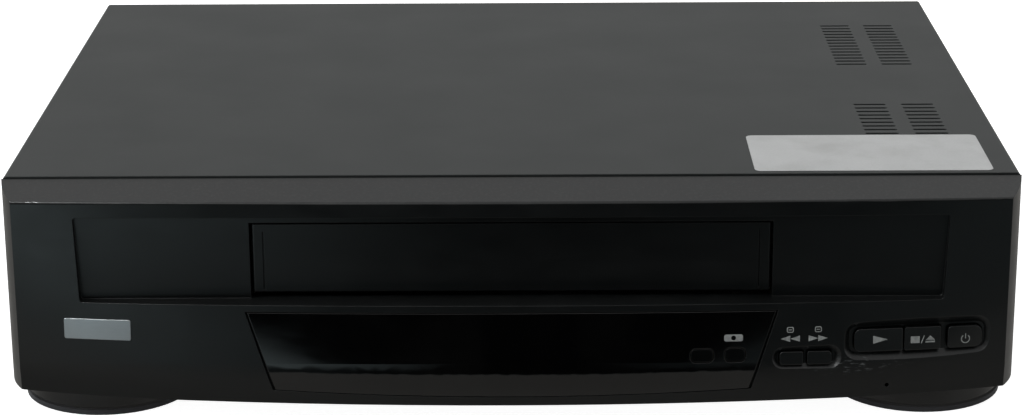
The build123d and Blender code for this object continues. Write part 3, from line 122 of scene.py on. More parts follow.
# and towards the object: it fades in, dims to a share of itself, is joined by a strip of another
# colour close before the object, and gives way to one faint glow beside the object
FAR_GLOW_Y = (FRONT - 0.66, FRONT - 0.30)
NEAR_GLOW_Y = (FRONT - 0.20, FRONT - 0.13)
NEAR_SHARE = 0.14
CLOSE_GLOW_Y = (FRONT - 0.095, FRONT - 0.084)
BEFORE_Y = (FRONT - 0.032, FRONT - 0.008)
# how strong it is at the left, at the right, in the strip and beside the object, and its two colours
LEFT_GLOW = 3.2
RIGHT_GLOW = 0.8
CLOSE_GLOW = 0.33
BESIDE_GLOW = 0.36
FAR_RGB = (0.80, 0.97, 1.0)
CLOSE_RGB = (1.0, 0.98, 0.93)

# light of the sky on the object; and the lamps: name, place, aim, sides, watts, colour, and True where
# the lamp makes highlights only, False where it never shows in the gloss
SKY_LIGHT = 0.22
LAMPS = (
    ("overhead_light", (-0.1, 0.3, 2.0), (0.0, 0.0, 0.0), (2.4, 2.4), 20.0, (1.0, 1.0, 0.99), False),
    ("left_light", (-1.7, -1.0, 0.7), (-0.1, -0.12, 0.05), (0.8, 0.8), 10.0, (0.88, 0.97, 1.0), False),
    ("highlight", (-0.98, -0.5, 1.4), (-0.98, -0.14, 0.09), (0.55, 0.14), 80.0, (0.96, 0.99, 1.0), True),
)


# ---------------------------------------------------------------- material nodes
UNIT = (0.0, 1.0)
MOST = (0.3, 0.7)               # where most values of a noise lie
BEVEL_SAMPLES = 6
MIX_RGB_INPUTS = (0, 6, 7)      # the Mix node's share and its two colours
MIX_RGB_OUTPUT = 2
WAVE_FACTOR = 20                # the Wave node's own factor on its scale, before it takes the sine
EDGE_DOT = (0.995, 0.86)        # rounded against true direction, from an open face to a sharp edge
UP_Z = (0.3, 0.95)              # a direction's height, from an upright face to one that looks up
EVEN = (1.0, 1.0, 1.0)          # a noise's stretch that makes it the same along all axes
WHITE = (1.0, 1.0, 1.0, 1.0)

# colours of what lies on a surface or shows through it
DUST_RGB = (0.30, 0.29, 0.27)
SCUFF_RGB = (0.15, 0.16, 0.16)
SOLDER_RGB = (0.55, 0.55, 0.52)
RUST_RGB = (0.14, 0.07, 0.035)
NICKEL_RGB = (0.58, 0.57, 0.54)
SOIL_RGB = (0.37, 0.37, 0.36)


class Surface:
    """One procedural material, put together from noise on the part's own coordinates."""

    def __init__(self, name, metallic=0.0, specular=0.5):
        self.material = bpy.data.materials.new(name)
        self.material.use_nodes = True
        self.tree = self.material.node_tree
        self.tree.nodes.clear()
        output = self.node("ShaderNodeOutputMaterial")
        self.shader = self.node("ShaderNodeBsdfPrincipled")
        self.link(self.shader.outputs["BSDF"], output.inputs["Surface"])
        self.shader.inputs["Metallic"].default_value = metallic
        self.shader.inputs["Specular IOR Level"].default_value = specular
        self.place = self.node("ShaderNodeTexCoord").outputs["Object"]

    def node(self, kind, **settings):
        made = self.tree.nodes.new(kind)
        for key, value in settings.items():
            setattr(made, key, value)
        return made

    def link(self, source, target):
        self.tree.links.new(source, target)

    def put(self, value, target):
        """Links an output, or sets a plain value, on an input."""
        if isinstance(value, bpy.types.NodeSocket):
            self.link(value, target)
        else:
            target.default_value = value

    def put_colour(self, value, target):
        self.put(value if isinstance(value, bpy.types.NodeSocket) else (*value, 1.0), target)

    def noise(self, scale, detail=3.0, stretch=EVEN):
        """Cloudy values, finer along an axis that is stretched more."""
        mapping = self.node("ShaderNodeMapping")
        self.link(self.place, mapping.inputs["Vector"])
        mapping.inputs["Scale"].default_value = stretch
        made = self.node("ShaderNodeTexNoise")
        self.link(mapping.outputs["Vector"], made.inputs["Vector"])
        made.inputs["Scale"].default_value = scale
        made.inputs["Detail"].default_value = detail
        return made.outputs["Fac"]

    def cells(self, scale):
        """Two values that differ from cell to cell."""
        made = self.node("ShaderNodeTexVoronoi")
        self.link(self.place, made.inputs["Vector"])
        made.inputs["Scale"].default_value = scale
        parts = self.node("ShaderNodeSeparateColor")
        self.link(made.outputs["Color"], parts.inputs[0])
        return parts.outputs[0], parts.outputs[1]

    def bands(self, axis, pitch):
        """Stripes across one axis, pitch apart, from 0 to 1 and back."""
        made = self.node("ShaderNodeTexWave", wave_type="BANDS", bands_direction=axis)
        self.link(self.place, made.inputs["Vector"])
        made.inputs["Scale"].default_value = 2 * math.pi / (WAVE_FACTOR * pitch)
        return made.outputs["Fac"]

    def math(self, operation, first, second=0.0, third=0.0):
        made = self.node("ShaderNodeMath", operation=operation)
        for value, target in zip((first, second, third), made.inputs):
            self.put(value, target)
        return made.outputs[0]

    def span(self, value, source, target=UNIT):
        """Maps a range of the value onto another, held at its ends."""
        made = self.node("ShaderNodeMapRange", clamp=True)
        self.link(value, made.inputs["Value"])
        for name, number in zip(("From Min", "From Max", "To Min", "To Max"), source + target):
            made.inputs[name].default_value = number
        return made.outputs["Result"]

    def mix(self, share, first, second):
        """Goes from the first colour to the second as the share goes from 0 to 1."""
        made = self.node("ShaderNodeMix", data_type="RGBA")
        share_in, first_in, second_in = (made.inputs[i] for i in MIX_RGB_INPUTS)
        self.put(share, share_in)
        self.put_colour(first, first_in)
        self.put_colour(second, second_in)
        return made.outputs[MIX_RGB_OUTPUT]

    def rounded(self, radius):
        """The surface's direction with its edges rounded by that radius."""
        made = self.node("ShaderNodeBevel", samples=BEVEL_SAMPLES)
        made.inputs["Radius"].default_value = radius
        return made.outputs["Normal"]

    def edges(self, radius):
        """1 on sharp edges and 0 on open faces."""
        made = self.node("ShaderNodeVectorMath", operation="DOT_PRODUCT")
        self.link(self.rounded(radius), made.inputs[0])
        self.link(self.node("ShaderNodeNewGeometry").outputs["True Normal"], made.inputs[1])
        return self.span(made.outputs["Value"], EDGE_DOT)

    def upward(self):
        """1 on faces that look up and 0 on upright ones."""
        parts = self.node("ShaderNodeSeparateXYZ")
        self.link(self.node("ShaderNodeNewGeometry").outputs["Normal"], parts.inputs[0])
        return self.span(parts.outputs["Z"], UP_Z)

    def along(self, axis):
        """The part's own coordinate along an axis."""
        parts = self.node("ShaderNodeSeparateXYZ")
        self.link(self.place, parts.inputs[0])
        return parts.outputs[axis]

    def between(self, axis, ends):
        """1 in the middle of a stretch along an axis, fading to 0 at its ends."""
        low, high = ends
        centre = (low + high) / 2
        place = self.along(axis)
        return self.math("MULTIPLY", self.span(place, (low, centre)), self.span(place, (high, centre)))

    def bump(self, height, depth, radius):
        """Sets the surface's relief, over edges rounded by radius."""
        made = self.node("ShaderNodeBump")
        made.inputs["Distance"].default_value = depth
        self.link(height, made.inputs["Height"])
        self.link(self.rounded(radius), made.inputs["Normal"])
        self.link(made.outputs["Normal"], self.shader.inputs["Normal"])

    def colour(self, value):
        self.put_colour(value, self.shader.inputs["Base Color"])

    def roughness(self, value):
        self.put(value, self.shader.inputs["Roughness"])


def shaded(rgb, factor):
    """A colour made that many times as bright."""
    return tuple(part * factor for part in rgb)


# ---------------------------------------------------------------- families of finishes
def plastic(name, rgb, rough, grain, depth, specular=0.5, worn=None, dust=0.0, edge=0.35 * MM, scuffs=None):
    """Moulded plastic: fine grain, blotches of shine, paler worn edges, a little dust and scuffs."""
    made = Surface(name, specular=specular)
    blotch = made.span(made.noise(scale=38.0, detail=4.0), (0.35, 0.65))
    tone = made.mix(blotch, shaded(rgb, 0.88), shaded(rgb, 1.12))
    rub = made.math("MULTIPLY", made.edges(edge), made.span(made.noise(scale=160.0), (0.42, 0.7), (0.1, 0.7)))
    tone = made.mix(rub, tone, worn or shaded(rgb, 2.2))
    if dust:
        specks = made.span(made.noise(scale=900.0, detail=6.0), (0.5, 0.8), (0.0, dust))
        tone = made.mix(made.math("MULTIPLY", made.upward(), specks), tone, DUST_RGB)
    if scuffs:
        inside = made.math("MULTIPLY", made.between("X", scuffs[0]), made.between("Z", scuffs[1]))
        scratch = made.noise(scale=330.0, detail=4.0, stretch=(1.0, 1.0, 6.0))
        scratch = made.span(scratch, (0.58, 0.68), (0.0, 0.8))
        tone = made.mix(made.math("MULTIPLY", inside, scratch), tone, SCUFF_RGB)
    made.colour(tone)
    smear = made.noise(scale=70.0, detail=5.0, stretch=(1.0, 1.0, 2.5))
    made.roughness(made.span(smear, MOST, (rough - 0.025, rough + 0.035)))
    made.bump(made.noise(scale=grain, detail=2.0), depth, edge)
    return made.material


def paint(name, rgb, rough, specular):
    """Satin paint on sheet steel: fine orange peel, faint clouds, hair scratches and rubbed edges."""
    edge = 0.6 * MM
    made = Surface(name, specular=specular)
    cloud = made.span(made.noise(scale=14.0, detail=4.0), MOST)
    tone = made.mix(cloud, shaded(rgb, 0.985), shaded(rgb, 1.015))
    speck = made.span(made.noise(scale=1500.0, detail=2.0), (0.68, 0.8), (0.0, 0.22))
    tone = made.mix(speck, tone, shaded(rgb, 2.4))
    hair = made.noise(scale=26.0, detail=2.0, stretch=(1.0, 34.0, 1.0))
    tone = made.mix(made.span(hair, (0.745, 0.765), (0.0, 0.16)), tone, shaded(rgb, 2.0))
    rub = made.math("MULTIPLY", made.edges(edge), made.span(made.noise(scale=120.0), (0.4, 0.7), (0.05, 0.5)))
    tone = made.mix(rub, tone, shaded(rgb, 2.0))
    made.colour(tone)
    made.roughness(made.span(made.noise(scale=30.0, detail=5.0), MOST, (rough - 0.015, rough + 0.02)))
    made.bump(made.noise(scale=3200.0, detail=2.0), 0.012 * MM, edge)
    return made.material


def metal(name, rgb, rough, stretch=EVEN, scale=600.0, depth=0.006 * MM, stain=0.8, edge=0.2 * MM):
    """Bare metal: drawn or ground lines along the least stretched axis, with dull patches."""
    made = Surface(name, metallic=1.0)
    dull = made.span(made.noise(scale=45.0, detail=5.0), (0.35, 0.7))
    line = made.noise(scale=scale, stretch=stretch)
    tone = made.mix(dull, rgb, shaded(rgb, stain))
    tone = made.mix(made.span(line, MOST, (0.0, 0.3)), tone, shaded(rgb, 1.15))
    made.colour(tone)
    patches = made.span(dull, UNIT, (rough - 0.05, rough + 0.08))
    made.roughness(made.math("ADD", patches, made.span(line, MOST, (-0.03, 0.03))))
    made.bump(line, depth, edge)
    return made.material


# ---------------------------------------------------------------- finishes with a pattern of their own
def smoked_window(name):
    """Smoked plastic, glossy, with a faint haze where it was wiped."""
    made = Surface(name)
    haze = made.span(made.noise(scale=55.0, detail=6.0), (0.4, 0.75))
    made.colour(made.mix(haze, (0.0012, 0.0012, 0.0013), (0.0032, 0.0031, 0.0030)))
    wipe = made.noise(scale=40.0, detail=5.0, stretch=(1.0, 1.0, 3.0))
    made.roughness(made.span(wipe, (0.35, 0.75), (0.035, 0.10)))
    made.bump(made.noise(scale=25.0, detail=2.0), 0.004 * MM, 0.35 * MM)
    return made.material


def circuit_board(name):
    """Brown board with darker conductors across it and spots of solder."""
    made = Surface(name)
    lines = made.math("MULTIPLY", made.bands("X", 2.4 * MM), made.bands("Y", 3.1 * MM))
    tone = made.mix(made.span(lines, (0.28, 0.34), (0.0, 0.6)), (0.42, 0.33, 0.17), (0.30, 0.22, 0.10))
    solder = made.span(made.cells(320.0)[0], (0.9, 0.93), (0.0, 0.5))
    made.colour(made.mix(solder, tone, SOLDER_RGB))
    made.roughness(made.span(made.noise(scale=200.0), MOST, (0.45, 0.62)))
    made.bump(lines, 0.03 * MM, 0.1 * MM)
    return made.material


def ribbon(name):
    """Ribbon cable: one wire beside the other."""
    made = Surface(name)
    wires = made.bands("X", 1.27 * MM)
    made.colour(made.mix(made.span(wires, (0.2, 0.8)), (0.52, 0.52, 0.50), (0.74, 0.74, 0.72)))
    made.roughness(made.span(made.noise(scale=150.0), MOST, (0.38, 0.5)))
    made.bump(wires, 0.2 * MM, 0.1 * MM)
    return made.material


def laminations(name):
    """A transformer's stacked sheets, a little rusty."""
    made = Surface(name, metallic=0.6)
    sheets = made.bands("Z", 0.5 * MM)
    rust = made.span(made.noise(scale=90.0, detail=5.0), (0.45, 0.75), (0.0, 0.5))
    tone = made.mix(sheets, (0.09, 0.085, 0.08), (0.16, 0.15, 0.14))
    made.colour(made.mix(rust, tone, RUST_RGB))
    made.roughness(made.span(made.noise(scale=300.0), MOST, (0.42, 0.6)))
    made.bump(sheets, 0.12 * MM, 0.2 * MM)
    return made.material


def display_glass(name):
    """Glass of the display tube, with the fine grid behind it."""
    made = Surface(name)
    grid = made.math("MULTIPLY", made.bands("X", 1.1 * MM), made.bands("Z", 1.1 * MM))
    made.colour(made.mix(made.span(grid, (0.2, 0.7)), (0.012, 0.03, 0.028), (0.05, 0.09, 0.085)))
    made.roughness(made.span(made.noise(scale=60.0), MOST, (0.04, 0.09)))
    made.bump(made.noise(scale=30.0), 0.004 * MM, 0.3 * MM)
    return made.material


def can_sleeve(name):
    """Dark sleeve of a capacitor with an upright pale stripe."""
    made = Surface(name)
    stripe = made.span(made.noise(scale=60.0, detail=1.0, stretch=(1.0, 1.0, 0.05)), (0.56, 0.58))
    made.colour(made.mix(stripe, (0.02, 0.028, 0.06), (0.30, 0.31, 0.34)))
    made.roughness(made.span(made.noise(scale=120.0), MOST, (0.22, 0.36)))
    made.bump(made.noise(scale=500.0), 0.01 * MM, 0.3 * MM)
    return made.material


def zinc(name):
    """Zinc-plated sheet: faint crystals, a yellow cast and dull patches."""
    made = Surface(name, metallic=1.0)
    crystal, relief = made.cells(420.0)
    tone = made.mix(crystal, (0.54, 0.54, 0.52), (0.66, 0.65, 0.61))
    stain = made.span(made.noise(scale=40.0, detail=5.0), (0.5, 0.75), (0.0, 0.5))
    made.colour(made.mix(stain, tone, (0.50, 0.47, 0.38)))
    made.roughness(made.span(made.noise(scale=90.0, detail=4.0), MOST, (0.3, 0.46)))
    made.bump(relief, 0.006 * MM, 0.25 * MM)
    return made.material


def socket_plastic(name):
    """Black socket plastic; the phono barrels behind the rear panel are nickel round a coloured ring."""
    made = Surface(name)
    grain = made.noise(scale=700.0)
    tone = made.mix(made.span(grain, MOST), (0.026, 0.026, 0.028), (0.044, 0.044, 0.046))
    behind = made.span(made.along("Y"), (BACK_PANEL - 0.1 * MM, BACK_PANEL + 0.1 * MM))
    up = made.math("SUBTRACT", made.along("Z"), PHONO_Z)
    nickel = 0.0
    for x, ring in PHONO_RINGS:
        side = made.math("SUBTRACT", made.along("X"), x)
        away = made.math("SQRT", made.math("MULTIPLY_ADD", side, side, made.math("MULTIPLY", up, up)))
        barrel = made.math("MULTIPLY", behind, made.math("LESS_THAN", away, PHONO_BARREL_R))
        outside = made.math("MULTIPLY", barrel, made.math("GREATER_THAN", away, PHONO_RING_R))
        tone = made.mix(barrel, tone, ring)
        tone = made.mix(outside, tone, NICKEL_RGB)
        nickel = made.math("ADD", outside, nickel)
    made.colour(tone)
    made.link(nickel, made.shader.inputs["Metallic"])
    made.roughness(made.span(made.noise(scale=150.0), MOST, (0.32, 0.5)))
    made.bump(grain, 0.01 * MM, 0.25 * MM)
    return made.material


# each material slot's finish, and that of the keys in the window; a finish is made with its own name
FINISHES = {
    "panel_plastic": partial(plastic, rgb=(0.0038, 0.0045, 0.0046), rough=0.30, grain=2600.0,
                             depth=0.012 * MM, specular=0.30, dust=0.05, scuffs=(SCUFF_X, SCUFF_Z)),
    "key_plastic": partial(plastic, rgb=(0.0034, 0.0039, 0.0040), rough=0.24, grain=1800.0, depth=0.006 * MM,
                           specular=0.4, edge=0.45 * MM),
    "window_key": partial(plastic, rgb=(0.0016, 0.0018, 0.0018), rough=0.20, grain=1800.0, depth=0.006 * MM,
                          specular=0.2, worn=(0.004, 0.004, 0.004), edge=0.45 * MM),
    "smoked_window": smoked_window,
    "badge_metal": partial(metal, rgb=(0.27, 0.28, 0.29), rough=0.38, stretch=(0.06, 1.0, 1.0), scale=2600.0,
                           edge=0.3 * MM),
    "cover_steel": partial(paint, rgb=(0.0272, 0.0298, 0.0292), rough=0.50, specular=0.08),
    "chassis_plastic": partial(plastic, rgb=(0.022, 0.022, 0.024), rough=0.6, grain=1200.0, depth=0.03 * MM),
    "foot_plastic": partial(plastic, rgb=(0.0048, 0.0052, 0.0055), rough=0.24, grain=900.0, depth=0.006 * MM,
                            edge=0.5 * MM),
    "pad_rubber": partial(plastic, rgb=(0.045, 0.045, 0.048), rough=0.8, grain=1500.0, depth=0.04 * MM,
                          specular=0.3),
    "display_glass": display_glass,
    "receiver_plastic": partial(plastic, rgb=(0.03, 0.008, 0.008), rough=0.12, grain=400.0, depth=0.003 * MM),
    "switch_plastic": partial(plastic, rgb=(0.05, 0.05, 0.054), rough=0.5, grain=900.0, depth=0.01 * MM),
    "circuit_board": circuit_board,
    "ribbon_plastic": ribbon,
    "transformer_steel": laminations,
    "bare_aluminium": partial(metal, rgb=(0.62, 0.63, 0.65), rough=0.42, stretch=(1.0, 1.0, 0.05),
                              scale=1500.0),
    "can_sleeve": can_sleeve,
    "socket_plastic": socket_plastic,
    "tuner_case": partial(metal, rgb=(0.60, 0.60, 0.57), rough=0.32, scale=260.0, stain=0.7),
    "zinc_steel": zinc,
    "pin_steel": partial(metal, rgb=(0.62, 0.62, 0.64), rough=0.18, stretch=(1.0, 1.0, 8.0), scale=900.0,
                         depth=0.002 * MM),
    "screw_steel": partial(metal, rgb=(0.22, 0.22, 0.225), rough=0.34, scale=1200.0),
    "spring_steel": partial(metal, rgb=(0.48, 0.48, 0.50), rough=0.28, stretch=(8.0, 1.0, 1.0), scale=900.0,
                            depth=0.002 * MM),
    "gear_plastic": partial(plastic, rgb=(0.70, 0.69, 0.64), rough=0.42, grain=900.0, depth=0.01 * MM,
                            worn=(0.6, 0.58, 0.52)),
    "reel_plastic": partial(plastic, rgb=(0.05, 0.05, 0.055), rough=0.42, grain=900.0, depth=0.012 * MM),
    "roller_rubber": partial(plastic, rgb=(0.024, 0.024, 0.025), rough=0.72, grain=1100.0, depth=0.03 * MM,
                             specular=0.3),
    "capstan_steel": partial(metal, rgb=(0.55, 0.55, 0.57), rough=0.2, stretch=(1.0, 1.0, 10.0), scale=700.0,
                             depth=0.002 * MM),
    "cast_aluminium": partial(metal, rgb=(0.5, 0.5, 0.52), rough=0.5, scale=900.0, depth=0.03 * MM),
    "drum_aluminium": partial(metal, rgb=(0.74, 0.74, 0.76), rough=0.16, stretch=(1.0, 1.0, 14.0),
                              scale=800.0, depth=0.002 * MM),
    "head_metal": partial(metal, rgb=(0.58, 0.58, 0.58), rough=0.2, stretch=(1.0, 1.0, 4.0), scale=1000.0,
                          depth=0.002 * MM),
    "motor_steel": partial(metal, rgb=(0.55, 0.55, 0.56), rough=0.3, stretch=(0.2, 1.0, 1.0), scale=900.0),
}


def dress_nodes():
    """Gives every CAD node the finish of its material slot in the record, or of the window's keys."""
    made = {}
    for row in frame["record"]["subparts"]:
        finish = "window_key" if row["node"] in WINDOW_KEYS else row["material_slot"]
        if finish not in made:
            made[finish] = FINISHES[finish](finish)
        mesh = frame["nodes"][row["node"]].data
        mesh.materials.clear()
        mesh.materials.append(made[finish])


# ---------------------------------------------------------------- printed signs
def add_mesh(name, points, faces, material):
    """Puts a new piece of one material into the scene."""
    mesh = bpy.data.meshes.new(name)
    mesh.from_pydata(points, [], faces)
    mesh.materials.append(material)
    piece = bpy.data.objects.new(name, mesh)
    bpy.context.scene.collection.objects.link(piece)
    return piece


def facing_front(node):
    """A function that gives the place on a node's front above x and z."""
    mesh = frame["nodes"][node].data
    tree = BVHTree.FromPolygons([v.co for v in mesh.vertices], [p.vertices for p in mesh.polygons])

    def place(x, z):
        hit = tree.ray_cast(Vector((x, FRONT - SEARCH_START, z)), Vector((0.0, 1.0, 0.0)))[0]
        if hit is None:
            raise ValueError(f"no surface of {node} at x {x:.4f}, z {z:.4f}")
        return Vector((x, hit.y - INK_LIFT, z))

    return place


def ring_faces(count):
    """The faces between two closed loops of that many points each."""
    return [(i, (i + 1) % count, count + (i + 1) % count, count + i) for i in range(count)]


def band(outer, inner):
    """Two closed loops with equally many points, and the faces between them."""
    return outer + inner, ring_faces(len(outer))


def patch(points):
    """A filled outline."""
    return points, [tuple(range(len(points)))]


def circle(x, z, r, start, end, steps=28):
    """Points on a circle from one angle to the other, both ends included."""
    angles = [math.radians(start + (end - start) * i / steps) for i in range(steps + 1)]
    return [(x + r * math.cos(a), z + r * math.sin(a)) for a in angles]


def box_outline(x, z, wide, tall):
    """A rectangle round x and z."""
    return [(x - wide / 2, z - tall / 2), (x + wide / 2, z - tall / 2),
            (x + wide / 2, z + tall / 2), (x - wide / 2, z + tall / 2)]


def pill_outline(x, z, wide, tall, r, steps=6):
    """A rectangle round x and z with its corners rounded by r."""
    points = []
    for sx, sz, start in ((1, -1, 270), (1, 1, 0), (-1, 1, 90), (-1, -1, 180)):
        centre = (x + sx * (wide / 2 - r), z + sz * (tall / 2 - r))
        points += circle(*centre, r, start, start + 90, steps)
    return points


def triangle(x, z, wide, tall):
    """Pointing right where wide is above 0, and left where it is below."""
    return [(x - wide / 2, z + tall / 2), (x - wide / 2, z - tall / 2), (x + wide / 2, z)]


def arc_band(x, z, r, thick, start, end):
    """Part of a ring, thick inwards from r."""
    outer = circle(x, z, r, start, end)
    inner = circle(x, z, r - thick, start, end)
    count = len(outer)
    return outer + inner, [(i, i + 1, count + i + 1, count + i) for i in range(count - 1)]


def print_sign(name, node, body, centre, shapes, ink):
    """Lays flat shapes, in millimetres round a centre, on the front of a node."""
    place = facing_front(node)
    points = []
    faces = []
    for shape_points, shape_faces in shapes:
        first = len(points)
        points += [place(centre[0] + x * MM, centre[1] + z * MM) for x, z in shape_points]
        faces += [tuple(first + i for i in face) for face in shape_faces]
    piece = add_mesh(name, points, faces, ink)
    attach(piece, body)


def ink_material():
    made = Surface("pale_ink", specular=0.3)
    wear = made.span(made.noise(scale=900.0, detail=4.0), (0.35, 0.75))
    made.colour(made.mix(wear, (0.36, 0.37, 0.36), (0.20, 0.21, 0.205)))
    made.roughness(made.span(made.noise(scale=400.0), MOST, (0.45, 0.6)))
    made.bump(made.noise(scale=1800.0), 0.004 * MM, 0.02 * MM)
    return made.material


def beside(node, shift):
    """The place in x and z that stands that far from the middle of a node."""
    low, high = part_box(node)
    return (low.x + high.x) / 2 + shift[0], (low.z + high.z) / 2 + shift[1]


def stop_sign():
    """A square, a stroke, and a triangle over a bar."""
    return [
        patch(box_outline(-2.8, 0.0, wide=3.4, tall=2.6)),
        patch([(-0.7, -1.5), (-0.3, -1.5), (0.8, 1.5), (0.4, 1.5)]),
        patch([(1.1, -0.3), (4.7, -0.3), (2.9, 1.4)]),
        patch(box_outline(2.9, -1.0, wide=3.6, tall=0.6)),
    ]


def power_sign():
    """An open ring with a stroke in its gap."""
    return [
        arc_band(0.0, 0.0, r=1.75, thick=0.38, start=125.0, end=415.0),
        patch(box_outline(0.0, 1.1, wide=0.38, tall=2.0)),
    ]


def wind_sign(way):
    """Two arrows that point left or right, and a small sign for a tape above them."""
    pitch = 3.6
    tape_rise = 3.35
    arrows = [patch(triangle(step * pitch, 0.0, wide=way * pitch, tall=2.3)[::way]) for step in (-0.5, 0.5)]
    rim = band(pill_outline(0.0, tape_rise, wide=2.6, tall=2.2, r=0.7),
               pill_outline(0.0, tape_rise, wide=1.9, tall=1.5, r=0.4))
    return arrows + [rim, patch(box_outline(0.0, tape_rise, wide=1.3, tall=0.35))]


def record_sign():
    """A filled pill with a round hole, which has as many points as the pill."""
    pill = pill_outline(0.0, 0.0, wide=7.0, tall=2.6, r=0.7)
    return [band(pill, circle(0.0, 0.0, r=0.9, start=-80.0, end=280.0, steps=len(pill))[:-1])]


def make_signs():
    """Plain signs for what each key does, in pale ink."""
    ink = ink_material()
    print_sign("play_mark", "play_button", "play_key", beside("play_button", PLAY_SHIFT),
               [patch(triangle(0.0, 0.0, wide=5.6, tall=3.1))], ink)
    print_sign("stop_mark", "stop_button", "stop_key", beside("stop_button", STOP_SHIFT), stop_sign(), ink)
    print_sign("power_mark", "power_button", "power_key", beside("power_button", POWER_SHIFT),
               power_sign(), ink)
    for node, way in (("rewind_button", -1), ("fast_forward_button", 1)):
        print_sign(f"{node}_mark", "front_panel", "body", beside(node, WIND_SHIFT), wind_sign(way), ink)
    print_sign("record_mark", "display_window", "body", beside("record_button", RECORD_SHIFT),
               record_sign(), ink)


# ---------------------------------------------------------------- paper sticker
def sticker_paper():
    made = Surface("sticker_paper", specular=0.35)
    fibre = made.noise(scale=1400.0, detail=4.0, stretch=(1.0, 2.0, 1.0))
    soil = made.span(made.noise(scale=60.0, detail=6.0), (0.45, 0.8), (0.0, 0.5))
    tone = made.mix(made.span(fibre, MOST), (0.56, 0.565, 0.565), (0.61, 0.615, 0.615))
    made.colour(made.mix(soil, tone, SOIL_RGB))
    made.roughness(made.span(made.noise(scale=80.0), MOST, (0.42, 0.6)))
    made.bump(fibre, 0.006 * MM, 0.05 * MM)
    return made.material


def make_sticker():
    """A thin sheet with rounded corners, flat on the cover."""
    low = Vector((STICKER_X[0], STICKER_Y[0]))
    high = Vector((STICKER_X[1], STICKER_Y[1]))
    centre = (low + high) / 2
    size = high - low
    outline = pill_outline(centre.x, centre.y, size.x, size.y, STICKER_CORNER, steps=8)
    count = len(outline)
    underside = COVER_TOP + STICKER_LIFT
    points = [(x, y, underside) for x, y in outline]
    points += [(x, y, underside + STICKER_THICK) for x, y in outline]
    faces = [tuple(range(count))[::-1], tuple(range(count, 2 * count))] + ring_faces(count)
    piece = add_mesh("cover_sticker", points, faces, sticker_paper())
    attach(piece, "body")


# ---------------------------------------------------------------- camera, floor and light
def make_camera():
    """The camera that was fitted to the photo."""
    pitch, yaw, roll = (math.radians(a) for a in (CAMERA_PITCH, CAMERA_YAW, CAMERA_ROLL))
    forward = Vector((math.sin(yaw) * math.cos(pitch), math.cos(yaw) * math.cos(pitch), -math.sin(pitch)))
    right = Vector((math.cos(yaw), -math.sin(yaw), 0.0))
    up = right.cross(forward)
    across = right * math.cos(roll) + up * math.sin(roll)
    upward = up * math.cos(roll) - right * math.sin(roll)
    data = bpy.data.cameras.new("photo_camera")
    data.lens = CAMERA_LENS
    data.sensor_width = CAMERA_SENSOR
    camera = bpy.data.objects.new("photo_camera", data)
    turn = Matrix((across, upward, -forward)).transposed().to_4x4()
    camera.matrix_world = Matrix.Translation(CAMERA_AT) @ turn
    bpy.context.scene.collection.objects.link(camera)
    bpy.context.scene.camera = camera


def flat_sheet(name, corners, material):
    piece = add_mesh(name, corners, [(0, 1, 2, 3)], material)
    return piece


def background_rays(tree):
    """1 for rays of the camera, of mirrors and of clear pieces, which all see the plain background."""
    rays = tree.nodes.new("ShaderNodeLightPath")
    seen = rays.outputs["Is Camera Ray"]
    for kind in ("Is Glossy Ray", "Is Transmission Ray"):
        either = tree.nodes.new("ShaderNodeMath")
        either.operation = "MAXIMUM"
        tree.links.new(seen, either.inputs[0])
        tree.links.new(rays.outputs[kind], either.inputs[1])
        seen = either.outputs[0]
    return seen


def floor_material():
    """White floor that the camera and mirrors see a little brighter, with the object's shadow kept."""
    material = bpy.data.materials.new("floor_white")
    material.use_nodes = True
    tree = material.node_tree
    shader = tree.nodes["Principled BSDF"]
    shader.inputs["Base Color"].default_value = (FLOOR_GREY, FLOOR_GREY, FLOOR_GREY, 1.0)
    shader.inputs["Roughness"].default_value = FLOOR_ROUGH
    shader.inputs["Specular IOR Level"].default_value = 0.0
    glow = tree.nodes.new("ShaderNodeMath")
    glow.operation = "MULTIPLY"
    tree.links.new(background_rays(tree), glow.inputs[0])
    glow.inputs[1].default_value = FLOOR_GLOW
    shader.inputs["Emission Color"].default_value = WHITE
    tree.links.new(glow.outputs[0], shader.inputs["Emission Strength"])
    return material


def dark_card(name):
    """A dull, nearly black surface."""
    made = Surface(name, specular=0.0)
    made.colour(CARD_RGB)
    made.roughness(1.0)
    return made


def glowing_card():
    """Dark in the middle, glowing at its sides, in a strip before the object and faintly beside it."""
    made = dark_card("glowing_card")
    away = made.along("Y")
    dimmed = made.span(away, NEAR_GLOW_Y, (1.0, NEAR_SHARE))
    far = made.math("MULTIPLY", made.span(away, FAR_GLOW_Y), dimmed)
    left = made.span(made.along("X"), LEFT_GLOW_X, (1.0, 0.0))
    right = made.span(made.along("X"), RIGHT_GLOW_X)
    close = made.span(away, CLOSE_GLOW_Y)
    glow = made.math("MULTIPLY", made.math("MULTIPLY", left, far), LEFT_GLOW)
    glow = made.math("MULTIPLY_ADD", made.math("MULTIPLY", right, far), RIGHT_GLOW, glow)
    glow = made.math("MULTIPLY_ADD", close, CLOSE_GLOW, glow)
    before = made.span(away, BEFORE_Y, (1.0, 0.0))
    glow = made.math("MULTIPLY_ADD", made.math("SUBTRACT", glow, BESIDE_GLOW), before, BESIDE_GLOW)
    made.put_colour(made.mix(close, FAR_RGB, CLOSE_RGB), made.shader.inputs["Emission Color"])
    made.link(glow, made.shader.inputs["Emission Strength"])
    return made.material


def reflection_only(card):
    """Hides a card from all rays but those of reflections."""
    card.visible_camera = False
    card.visible_diffuse = False
    card.visible_shadow = False
    card.visible_transmission = False


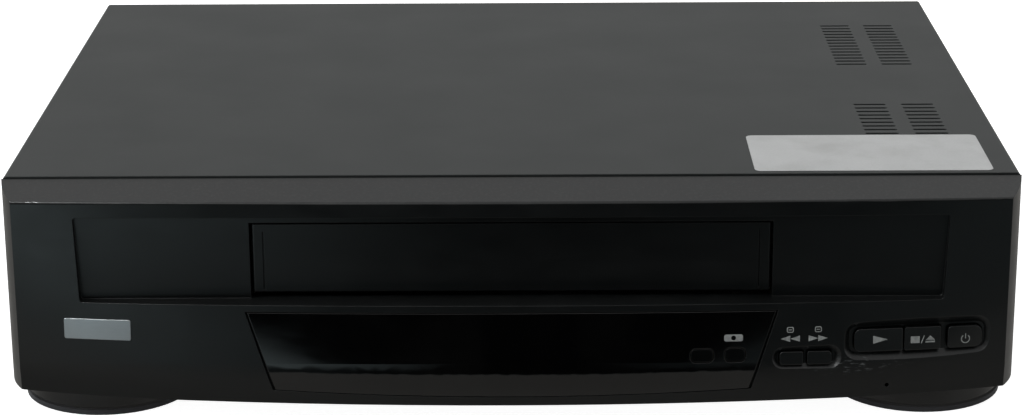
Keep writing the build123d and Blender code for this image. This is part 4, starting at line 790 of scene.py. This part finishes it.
def level_corners(low_y, high_y, half, z):
    """Corners of a level sheet, as far to the left as to the right."""
    return [(-half, low_y, z), (half, low_y, z), (half, high_y, z), (-half, high_y, z)]


def make_stage():
    flat_sheet("floor", level_corners(-FLOOR_HALF, FLOOR_HALF, FLOOR_HALF, 0.0), floor_material())
    reflection_only(flat_sheet("floor_card", level_corners(CARD_FRONT, CARD_BACK, CARD_HALF, CARD_LIFT),
                               glowing_card()))
    upright = [(-CARD_HALF, CARD_FRONT, 0.0), (CARD_HALF, CARD_FRONT, 0.0),
               (CARD_HALF, CARD_FRONT, CARD_HEIGHT), (-CARD_HALF, CARD_FRONT, CARD_HEIGHT)]
    reflection_only(flat_sheet("camera_card", upright, dark_card("black_card").material))


def make_world():
    """A soft sky for the light, which the camera and mirrors see as plain white."""
    world = bpy.data.worlds.new("studio")
    bpy.context.scene.world = world
    world.use_nodes = True
    tree = world.node_tree
    back = tree.nodes["Background"]
    back.inputs["Color"].default_value = WHITE
    level = tree.nodes.new("ShaderNodeMapRange")
    tree.links.new(background_rays(tree), level.inputs["Value"])
    level.inputs["To Min"].default_value = SKY_LIGHT
    level.inputs["To Max"].default_value = 1.0
    tree.links.new(level.outputs["Result"], back.inputs["Strength"])


def make_lamp(name, place, aim, sides, watts, rgb, highlight):
    """A soft lamp: a highlight lamp shows in the gloss only, and the others never show there."""
    data = bpy.data.lights.new(name, "AREA")
    data.shape = "RECTANGLE"
    data.size, data.size_y = sides
    data.energy = watts
    data.color = rgb
    lamp = bpy.data.objects.new(name, data)
    lamp.location = place
    lamp.rotation_euler = (Vector(aim) - Vector(place)).to_track_quat("-Z", "Y").to_euler()
    lamp.visible_glossy = highlight
    lamp.visible_diffuse = not highlight
    bpy.context.scene.collection.objects.link(lamp)


# ---------------------------------------------------------------- all of it
make_camera()
dress_nodes()
make_signs()
make_sticker()
make_stage()
make_world()
for lamp_values in LAMPS:
    make_lamp(*lamp_values)
bpy.context.scene.view_settings.view_transform = "Standard"
